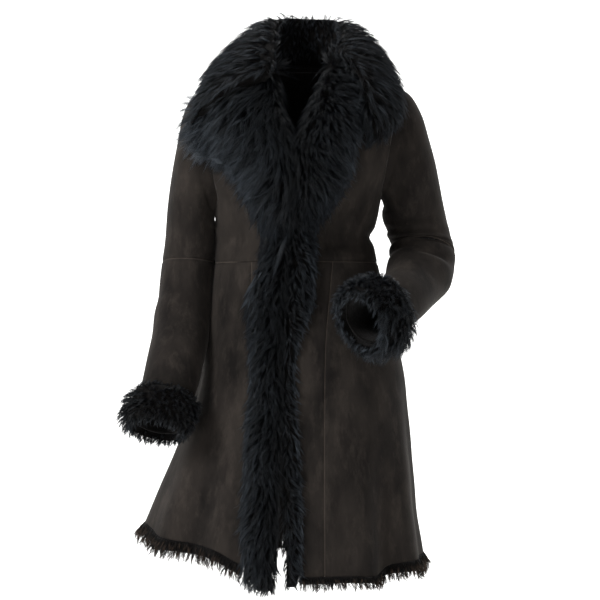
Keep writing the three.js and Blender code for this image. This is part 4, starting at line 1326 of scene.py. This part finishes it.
@dataclass
class FrontTrim(FurTrim):
    """Fur along a front edge or on a lapel, which lies on the suede and wraps the edge."""

    form: CoatForm = field(default_factory=CoatForm)
    rows: Table = Table(("inner_x", "inner_z", "outer_x", "outer_z", "rise"), ())
    comb_out: float = 1.0
    comb_down: float = 1.0
    last_reach: float = 1.0
    around: int = 22
    along: int = 60
    u_range: tuple[float, float] = (0.03, 0.66)

    def surface(self, u: Array, v: Array, share: float) -> Array:
        """Points round the strip's section and along it.

        Args:
            u: Shares round the section.
            v: Shares along the strip.
            share: Share of the fur's depth, 1 at its outer surface.

        Returns:
            Points in millimetres, in the last axis.
        """
        row = self.rows.read(np.clip(v, 0, 1) * (len(self.rows.rows) - 1), by_row=True)
        section = FUR_PROFILE.read(np.clip(u, 0, 1) * (len(FUR_PROFILE.rows) - 1), by_row=True)
        across = 0.5 + (section["across"] - 0.5) * mix(0.72, 1.0, share)
        x = mix(row["inner_x"], row["outer_x"], across)
        z = mix(row["inner_z"], row["outer_z"], across)
        seat = self.form.seat * 1.5
        return self.form.front(x, z, mix(seat, row["rise"] * share, np.clip(section["up"], 0, 1)))

    def flow(self, u: Array, v: Array, points: Array) -> Array:
        """Outwards from the opening and down, or inwards over the edge at the opening.

        Args:
            u: Shares round the section.
            v: Shares along the strip.
            points: Places on the fur's outer surface.

        Returns:
            Directions of any length.
        """
        row = self.rows.read(v * (len(self.rows.rows) - 1), by_row=True)
        sign = np.sign(row["outer_x"] - row["inner_x"])
        outward = sign * self.comb_out * np.clip((0.6 - u) / 0.35, -0.5, 1.0)
        down = -self.comb_down * np.ones(u.shape)
        wave = 0.35 * np.sin(points[..., 2] / 26.0 + points[..., 0] / 40.0)
        combed = np.stack([outward + wave, np.zeros(u.shape), down], -1)
        return combed + 1.2 * self.over_ends(u, v)

    def reach(self, u: Array, v: Array) -> Array:
        """Full along the strip and shorter towards its foot, where that is asked for."""
        return mix(1.0, self.last_reach, np.clip((v - 0.9) / 0.08, 0.0, 1.0))

    def highlight_share(self, u: Array, v: Array) -> Array:
        """Painted highlight: strongest where the hair thins out over the suede, least along the opening,
        where the hair stays black.
        """
        return np.interp(u, (0.05, 0.2, 0.34, 0.5), (1.0, 0.8, 0.35, 0.08))


@dataclass
class CollarTrim(FurTrim):
    """The shawl collar: fur up the stand, over the crest and down the fall."""

    sections: Table = Table(
        ("seam_x", "seam_y", "seam_z", "crest_x", "crest_y", "crest_z", "tip_x", "tip_y", "tip_z", "thick"),
        (
            (-36, -100, 26, -56, -142, 34, -214, -106, -58, 58),
            (-46, -66, 50, -50, -98, 84, -212, -78, -26, 56),
            (-56, -28, 62, -50, -44, 126, -196, -30, 16, 50), (-58, 14, 64, -46, 16, 158, -186, 34, 26, 46),
            (-38, 60, 64, -30, 62, 172, -128, 128, 12, 44), (16, 80, 64, 18, 82, 174, 18, 172, -8, 42),
            (70, 60, 64, 70, 62, 168, 160, 122, 12, 44), (90, 14, 64, 88, 14, 150, 191, 30, 24, 48),
            (86, -28, 60, 84, -48, 116, 199, -30, 4, 52), (66, -62, 48, 76, -100, 84, 206, -84, -38, 60),
            (78, -80, 28, 98, -124, 50, 176, -118, -86, 58),
            (112, -80, 14, 116, -122, 18, 142, -128, -104, 48),
        ),
    )
    fall_profile: tuple[tuple[float, float], ...] = (
        (0, -0.2), (0.04, 0.06), (0.2, 0.36), (0.48, 0.46), (0.78, 0.34), (0.98, -0.05), (1, -0.45),
        (0.9, -0.72),
        (0.6, -0.7), (0.3, -0.72),
    )
    stand: float = 16.0
    around: int = 40
    along: int = 90
    u_range: tuple[float, float] = (0.015, 0.61)

    def lines(self, v: Array) -> tuple[Array, Array, Array, Array]:
        """Seam, crest and tip points and the fur's thickness along the collar."""
        row = self.sections.read(v * (len(self.sections.rows) - 1), by_row=True)
        seam, crest, tip = (
            np.stack([row[f"{name}_{axis}"] for axis in "xyz"], -1) for name in ("seam", "crest", "tip")
        )
        return seam, crest, tip, row["thick"]

    def surface(self, u: Array, v: Array, share: float) -> Array:
        """Points round the collar's section and along it.

        Args:
            u: Shares round the section.
            v: Shares along the strip.
            share: Share of the fur's depth, 1 at its outer surface.

        Returns:
            Points in millimetres, in the last axis.
        """
        v = np.clip(v, 0, 1)
        seam, crest, tip, thick = self.lines(v)
        step = 0.2 / (len(self.sections.rows) - 1)
        before, after = self.lines(v - step), self.lines(v + step)
        fall = tip - crest
        out = unit(np.cross(after[1] + after[2] - before[1] - before[2], fall))
        level = unit(fall * np.array([1.0, 1.0, 0.0]))
        inwards = level * ((1 - share) * 9.0)
        ring = [seam + inwards, seam + (crest - seam) * 0.6 + inwards]
        for along, up in self.fall_profile:
            along, up = 0.5 + (along - 0.5) * mix(0.84, 1.0, share), mix(-0.2, up, mix(0.3, 1.0, share))
            ring.append(crest + fall * along + out * (thick * up)[..., None])
        ring.append(seam + (crest - seam) * 0.12 + level * self.stand)
        ring.append(ring[0])
        points = np.stack(ring, 0)
        place = np.clip(u, 0, 1) * (len(ring) - 1)
        low = np.clip(np.floor(place).astype(int), 0, len(ring) - 2)
        t = (place - low)[..., None]
        index = np.arange(len(u))
        a, b = points[np.maximum(low - 1, 0), index], points[low, index]
        c, d = points[low + 1, index], points[np.minimum(low + 2, len(ring) - 1), index]
        return b + 0.5 * t * (c - a + t * (2 * a - 5 * b + 4 * c - d + t * (3 * (b - c) + d - a)))

    def flow(self, u: Array, v: Array, points: Array) -> Array:
        """Up the stand and then down the fall, a little towards the back's middle at the sides.

        Args:
            u: Shares round the section.
            v: Shares along the strip.
            points: Places on the fur's outer surface.

        Returns:
            Directions of any length.
        """
        _, crest, tip, _ = self.lines(np.clip(v, 0, 1))
        fall = unit(tip - crest)
        up_stand = np.clip((0.17 - u) / 0.06, 0.0, 1.0)[..., None]
        sweep = fall * (1 - up_stand) + np.array([0.0, 0.0, 1.0]) * up_stand
        return sweep + 1.5 * self.over_ends(u, v)

    def reach(self, u: Array, v: Array) -> Array:
        """Short on the stand, long on the fall."""
        return np.interp(u, (0.1, 0.25, 0.42, 0.56), (0.4, 1.0, 1.0, 0.6))


@dataclass
class CuffTrim(FurTrim):
    """A turned-back cuff of fur round a sleeve's end."""

    sleeve: SleeveForm = field(default_factory=lambda: RIGHT_SLEEVE)
    lift_profile: Table = Table(
        ("along", "lift"),
        ((0, 0.0), (0.0, 0.3), (0.06, 0.66), (0.2, 0.9), (0.42, 1), (0.62, 1), (0.82, 0.9), (0.95, 0.66),
         (1, 0.3), (1, 0.0), (0.66, 0), (0.33, 0), (0, 0)),
    )
    fur: float = 25.0
    outer_start: float = 0.0
    fall: float = 0.3
    low_gain: float = 0.35
    around: int = 26
    along: int = 48
    u_range: tuple[float, float] = (0.0, 0.8)
    closes: bool = True

    def surface(self, u: Array, v: Array, share: float) -> Array:
        """Points along the cuff's section and round the sleeve.

        Args:
            u: Shares round the section.
            v: Shares along the strip.
            share: Share of the fur's depth, 1 at its outer surface.

        Returns:
            Points in millimetres, in the last axis.
        """
        section = self.lift_profile.read(np.clip(u, 0, 1) * (len(self.lift_profile.rows) - 1), by_row=True)
        along = 0.5 + (section["along"] - 0.5) * mix(0.8, 1.0, share)
        start = self.sleeve.cuff_start + self.outer_start * np.cos(np.radians(v * 180.0)) ** 2
        row = mix(start, self.sleeve.cuff_end, along)
        raised = mix(1.2, self.fur * share, np.clip(section["lift"], 0, 1))
        return self.sleeve.point(row, v * 360.0, raised, self.sleeve.spread)

    def flow(self, u: Array, v: Array, points: Array) -> Array:
        """Away from the cuff's middle, over both of its edges.

        Args:
            u: Shares round the section.
            v: Shares along the strip.
            points: Places on the fur's outer surface.

        Returns:
            Directions of any length.
        """
        span = self.sleeve.cuff_end - self.sleeve.cuff_start
        run = self.sleeve.run(self.sleeve.cuff_start + np.clip(u / 0.75, 0, 1) * span)
        toward = np.clip((u - 0.2) / 0.07, -1.0, 1.0)
        return run * toward[..., None] + np.array([0.0, 0.0, -self.fall])

    def reach(self, u: Array, v: Array) -> Array:
        """Short where the fur meets the sleeve, longest on the side that hangs lowest."""
        low = 1.0 + self.low_gain * (np.cos(np.radians(v * 360.0)) - 0.4)
        return np.interp(u, (0.12, 0.32, 0.7, 0.8), (0.6, 1.0, 1.0, 0.6)) * low

    def highlight_share(self, u: Array, v: Array) -> Array:
        """Painted highlight: strongest along both edges, least in the middle, where the hair stays black."""
        return np.interp(u, (0.05, 0.25, 0.5, 0.7), (1.0, 0.3, 0.15, 0.6))


@dataclass
class HemTrim(FurTrim):
    """Short fur that shows below the suede's hem."""

    form: CoatForm = field(default_factory=CoatForm)
    from_angle: float = 0.0
    to_angle: float = 90.0
    clearance: float = 0.2
    thickness: float = 16.0
    drops: Table = Table(
        ("angle", "drop"),
        ((-180, 30), (-130, 32), (-95, 28), (-82, 38), (-60, 38), (-38, 34), (-22, 32), (10, 24), (36, 22),
         (52, 32), (80, 36), (100, 34), (140, 30), (180, 30)),
    )
    profile: Table = Table(
        ("out", "down"),
        ((-0.12, 0), (-0.28, 0.3), (-0.2, 0.75), (0.2, 1), (0.62, 0.86), (0.75, 0.4), (0.5, 0), (-0.12, 0)),
    )
    around: int = 14
    along: int = 70
    u_range: tuple[float, float] = (0.0, 0.72)

    def surface(self, u: Array, v: Array, share: float) -> Array:
        """Points round the edging's section and along the hem.

        Args:
            u: Shares round the section.
            v: Shares along the strip.
            share: Share of the fur's depth, 1 at its outer surface.

        Returns:
            Points in millimetres, in the last axis.
        """
        section = self.profile.read(np.clip(u, 0, 1) * (len(self.profile.rows) - 1), by_row=True)
        angle = mix(self.from_angle, self.to_angle, np.clip(v, 0, 1))
        top = self.form.hem_z(angle) - self.clearance
        drop = self.drops.read(angle)["drop"]
        out = 0.24 + (section["out"] - 0.24) * mix(0.5, 1.0, share)
        z = top - drop * section["down"] * mix(0.15, 1.0, share)
        return self.form.body(angle, z, -out * self.thickness)

    def flow(self, u: Array, v: Array, points: Array) -> Array:
        """Straight down, a little outwards."""
        out = unit(points * np.array([1.0, 1.0, 0.0]))
        return out * 0.25 + np.array([0.0, 0.0, -1.0])


def lapel_rows() -> dict[Side, Table]:
    """Rows of the lapels, from the front edge to the lapel's outer edge."""
    columns = ("inner_x", "inner_z", "outer_x", "outer_z", "rise")
    return {
        Side.RIGHT: Table(columns, (
            (-15.5, -235.5, -84, -235.5, 36), (-13, -190, -102, -200, 40), (-11, -140, -118, -172, 44),
            (-9, -100, -146, -140, 46), (-20, -62, -180, -124, 46), (-32, -22, -207, -106, 44),
            (-38, 18, -217, -76, 40), (-40, 48, -212, -44, 36),
        )),
        Side.LEFT: Table(columns, (
            (-14.5, -249.5, 38, -249.5, 34), (-12, -210, 62, -220, 40), (-9, -160, 86, -178, 46),
            (-6, -110, 104, -126, 52), (10, -66, 112, -78, 56), (28, -26, 118, -36, 56), (42, 12, 124, 2, 54),
            (50, 54, 128, 36, 50),
        )),
    }


def edging_rows(form: CoatForm, side: Side) -> Table:
    """Rows of a front edging, worked out from its outer line, its rise and the opening.

    Args:
        form: The coat.
        side: Which front.

    Returns:
        Rows in the lapels' columns.
    """
    outer = {
        Side.RIGHT: ((-236, -84, 36), (-290, -74, 34), (-340, -76, 32), (-405, -102, 32), (-472, -97, 30),
                     (-567, -93, 28), (-660, -101, 28), (-750, -105, 28), (-870, -108, 28), (-922, -104, 26),
                     (-954, -82, 16)),
        Side.LEFT: ((-250, 36, 34), (-290, 28, 30), (-340, 27, 28), (-410, 23, 26), (-460, 6, 22), (-510,
                    -10, 17),
                    (-600, -12, 15), (-700, -4, 14), (-820, 1, 14), (-915, 0, 14), (-948, -5, 9)),
    }[side]
    rows = []
    for z, outer_x, rise in outer:
        edge = form.opening.read(float(z))
        inner_x = float((edge["right"] + edge["left"]) / 2 + side.value * edge["fur_gap"])
        rows.append((inner_x, z, outer_x, z, rise))
    return Table(("inner_x", "inner_z", "outer_x", "outer_z", "rise"), tuple(rows))


@dataclass
class FlattenedLock:
    """One long lock at the waist that lies flat and catches the light, over the right front's fur, with a
    painted highlight in its colour.
    """

    form: CoatForm
    finishes: Finishes
    path: Table = Table(
        ("x", "z", "raised", "half_width"),
        ((-26, -286, 30, 2.0), (-31, -300, 37, 4.5), (-37, -318, 39, 5.0), (-45, -346, 37, 4.0),
        (-54, -376, 33, 0.8)),
    )
    strands: int = 5
    half_thickness: float = 1.2

    def build(self) -> None:
        """Builds the lock as flat tapering strands side by side."""
        pieces = []
        for strand in range(self.strands):
            place = (strand + 0.5) / self.strands * 2 - 1

            def surface(u: Array, v: Array, at: float = place, size: float = 1.0) -> Array:
                """Points round and along one strand."""
                row = self.path.read(v * (len(self.path.rows) - 1), by_row=True)
                turn = u * 2 * math.pi
                wide = row["half_width"] / self.strands * 0.62 * size
                x = row["x"] + at * row["half_width"] + wide * np.cos(turn)
                lift = self.half_thickness * np.sin(turn) * size + 0.8 * math.cos(3 * at)
                return self.form.front(x, row["z"] + 0.35 * (x - row["x"]), row["raised"] + lift)

            mesh = mapped_mesh(
                "flattened_lock", surface, 6, 24, lambda u, v, f=surface: f(u, v, size=0.2), joined=True,
                ended=True,
            )
            tones = mesh.uv_layers.new(name=HAIR_MAP)
            # painted highlight: each strand mixes part of the bright tip colour into its own
            highlight_mix = 0.16 + 0.1 * (strand % 3)
            flat = np.tile(np.array([highlight_mix, 0.8], np.float32), len(mesh.loops))
            tones.data.foreach_set("uv", flat)
            pieces.append(new_piece("flattened_lock", mesh, (self.finishes.hair,)))
        with bpy.context.temp_override(
            active_object=pieces[0], object=pieces[0], selected_objects=pieces,
            selected_editable_objects=pieces,
        ):
            bpy.ops.object.join()
        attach(pieces[0], "root")


@dataclass
class FurParts:
    """All of the coat's fur: collar, lapels, front edging, cuffs and hem."""

    form: CoatForm
    sleeves: tuple[SleeveForm, SleeveForm]
    finishes: Finishes

    def trims(self) -> list[FurTrim]:
        """Every strip with the way its hair is combed."""
        hair, hem_hair = self.finishes.hair, self.finishes.hem_hair
        lapels = lapel_rows()
        under = self.finishes.pile
        right, left = lapels[Side.RIGHT], lapels[Side.LEFT]
        made: list[FurTrim] = [
            CollarTrim(
                "collar_fur", "collar",
                Comb(2500, 8, 42, 8, hair_width=0.75, lift=0.17, droop=0.12, highlight_strength=0.45, seed=11),
                hair, under,
                end_share=0.035,
            ),
            FrontTrim(
                "lapel_right_fur", "lapel_right",
                Comb(1240, 11, 56, 12, hair_width=0.75, lift=0.09, droop=0.1, clump=0.75, highlight_strength=1.3, seed=12),
                hair, under,
                form=self.form, rows=right, comb_out=0.9, comb_down=1.0, end_share=0.03,
            ),
            FrontTrim(
                "lapel_left_fur", "lapel_left",
                Comb(1250, 8, 40, 8, hair_width=0.75, lift=0.1, droop=0.1, highlight_strength=0.6, seed=13), hair, under,
                form=self.form, rows=left, comb_out=0.8, comb_down=0.9, end_share=0.03,
            ),
            FrontTrim(
                "edging_right_fur", "edging_right",
                Comb(1500, 10, 38, 9, hair_width=0.75, lift=0.08, droop=0.06, clump=0.7, highlight_strength=0.6, seed=14),
                hair, under,
                form=self.form, rows=edging_rows(self.form, Side.RIGHT), comb_out=0.5, comb_down=1.0,
                along=120,
                last_reach=0.4,
            ),
            FrontTrim(
                "edging_left_fur", "edging_left",
                Comb(850, 8, 26, 6, hair_width=0.7, lift=0.16, droop=0.06, highlight_strength=0.9, seed=15), hair, under,
                form=self.form, rows=edging_rows(self.form, Side.LEFT), comb_out=0.7, comb_down=0.9,
                along=120,
                last_reach=0.5,
            ),
        ]
        cuff_combs = (
            Comb(900, 8, 16, 5, hair_width=0.65, lift=0.5, rise=0.9, droop=0.1, scatter=0.4, highlight_strength=0.5,
                 seed=16),
            Comb(1100, 9, 23, 8, hair_width=0.7, lift=0.3, rise=0.8, droop=0.12, scatter=0.4,
                 highlight_strength=1.0, seed=17),
        )
        for sleeve, comb in zip(self.sleeves, cuff_combs):
            word = sleeve.side.word
            slant, fall = (0.5, 0.9) if sleeve.side is Side.LEFT else (0.0, 0.3)
            made.append(
                CuffTrim(
                    f"cuff_{word}_fur", f"cuff_{word}", comb, hair, under, sleeve=sleeve, outer_start=slant,
                    fall=fall,
                )
            )
        ends = (
            ("back_right", -180.0, -90.0),
            ("front_right", -90.0, float(self.form.angle_at(-104.0, -900.0)) - 0.4),
            ("front_left", float(self.form.angle_at(0.0, -900.0)) + 0.4, 90.0),
            ("back_left", 90.0, 180.0),
        )
        for number, (word, first, last) in enumerate(ends):
            comb = Comb(
                275, 8, 22, 6, hair_width=0.65, lift=0.05, droop=0.0, scatter=0.3, highlight_strength=0.9, seed=18 + number
            )
            made.append(
                HemTrim(
                    f"hem_fur_{word}_fur", f"hem_fur_{word}", comb, hem_hair, under, form=self.form,
                    from_angle=first + 0.05, to_angle=last - 0.05,
                )
            )
        return made

    def build(self) -> None:
        """Builds every trim."""
        for trim in self.trims():
            trim.build()


@dataclass
class Studio:
    """Pale backdrop, soft lights and the camera at the photograph's place."""

    floor_z: float = -1.45
    camera_y: float = -3.3
    camera_z: float = -0.41
    lens: float = 99.0

    def backdrop(self) -> None:
        """A floor that curves up into a wall."""
        bm = bmesh.new()
        start = bm.verts.new((-6.0, -6.0, self.floor_z))
        sweep = bmesh.ops.extrude_vert_indiv(bm, verts=[start])
        bmesh.ops.translate(bm, verts=sweep["verts"], vec=(0.0, 7.0, 0.0))
        line = sweep["verts"]
        for step in range(1, 13):
            angle = math.radians(90 * step / 12)
            sweep = bmesh.ops.extrude_vert_indiv(bm, verts=line)
            line = sweep["verts"]
            line[0].co = (-6.0, 1.0 + 2.0 * math.sin(angle), self.floor_z + 2.0 * (1 - math.cos(angle)))
        sweep = bmesh.ops.extrude_vert_indiv(bm, verts=line)
        bmesh.ops.translate(bm, verts=sweep["verts"], vec=(0.0, 0.0, 5.0))
        wide = bmesh.ops.extrude_edge_only(bm, edges=bm.edges[:])
        moved = [g for g in wide["geom"] if isinstance(g, bmesh.types.BMVert)]
        bmesh.ops.translate(bm, verts=moved, vec=(12.0, 0.0, 0.0))
        bmesh.ops.recalc_face_normals(bm, faces=bm.faces[:])
        mesh = bpy.data.meshes.new("backdrop")
        bm.to_mesh(mesh)
        bm.free()
        material, tree = new_material("Studio paper, pale")
        shader = add_node(
            tree, "ShaderNodeBsdfPrincipled", Base_Color=linear("#f4f4f3"), Roughness=0.95,
            Specular_IOR_Level=0.1,
            Emission_Color=linear("#ffffff"), Emission_Strength=0.6,
        )
        close_material(tree, shader)
        new_piece("backdrop", mesh, (material,))

    def light(
        self, name: str, place: tuple[float, float, float], size: float, watts: float, aim_z: float
    ) -> None:
        """A square soft light that faces the coat.

        Args:
            name: Name of the light.
            place: Its position.
            size: Side of the square.
            watts: Power.
            aim_z: Height on the coat that it faces.
        """
        data = bpy.data.lights.new(name, "AREA")
        data.shape, data.size, data.energy = "SQUARE", size, watts
        lamp = bpy.data.objects.new(name, data)
        lamp.location = place
        away = lamp.location.copy()
        away.z -= aim_z
        lamp.rotation_euler = away.to_track_quat("Z", "Y").to_euler()
        bpy.context.scene.collection.objects.link(lamp)

    def build(self) -> None:
        """Builds the backdrop, the lights and the camera."""
        self.backdrop()
        self.light("key", (-2.7, -2.1, 1.6), 1.2, 150.0, -0.3)
        self.light("fill", (2.6, -2.6, 0.4), 2.2, 18.0, -0.4)
        self.light("top", (0.0, 0.2, 2.6), 1.8, 42.0, -0.3)
        self.light("back_left", (2.4, 1.6, 0.6), 1.4, 24.0, -0.4)
        self.light("back_right", (-2.4, 1.6, 0.6), 1.4, 24.0, -0.4)
        world = bpy.data.worlds.new("Studio")
        world.use_nodes = True
        world.node_tree.nodes["Background"].inputs["Color"].default_value = linear("#ffffff")
        world.node_tree.nodes["Background"].inputs["Strength"].default_value = 0.18
        bpy.context.scene.world = world
        bpy.context.scene.view_settings.view_transform = "Standard"
        data = bpy.data.cameras.new("photo_camera")
        data.lens, data.sensor_width = self.lens, 36.0
        camera = bpy.data.objects.new("photo_camera", data)
        camera.location = (0.0, self.camera_y, self.camera_z)
        camera.rotation_euler = (math.radians(90), 0.0, 0.0)
        bpy.context.scene.collection.objects.link(camera)
        bpy.context.scene.camera = camera


def main() -> None:
    """Builds the coat over the frame, in order from the suede to the fur, and the studio round it."""
    logging.basicConfig(level=logging.INFO, format="%(message)s")
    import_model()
    form, finishes = CoatForm(), Finishes.make()
    sleeve_forms = (RIGHT_SLEEVE, LEFT_SLEEVE)
    sleeves = Sleeves(sleeve_forms, form, finishes)
    FurParts(form, sleeve_forms, finishes).build()
    FlattenedLock(form, finishes).build()
    armholes = {
        "bodice_front_right": [sleeves.armhole_cutter(RIGHT_SLEEVE)],
        "bodice_front_left": [sleeves.armhole_cutter(LEFT_SLEEVE)],
        "bodice_back": [sleeves.armhole_cutter(RIGHT_SLEEVE), sleeves.armhole_cutter(LEFT_SLEEVE)],
    }
    SuedeBody(form, finishes).build(armholes)
    sleeves.build()
    SeamWelts(form, sleeve_forms, finishes).build()
    Studio().build()


if __name__ == "__main__":
    main()
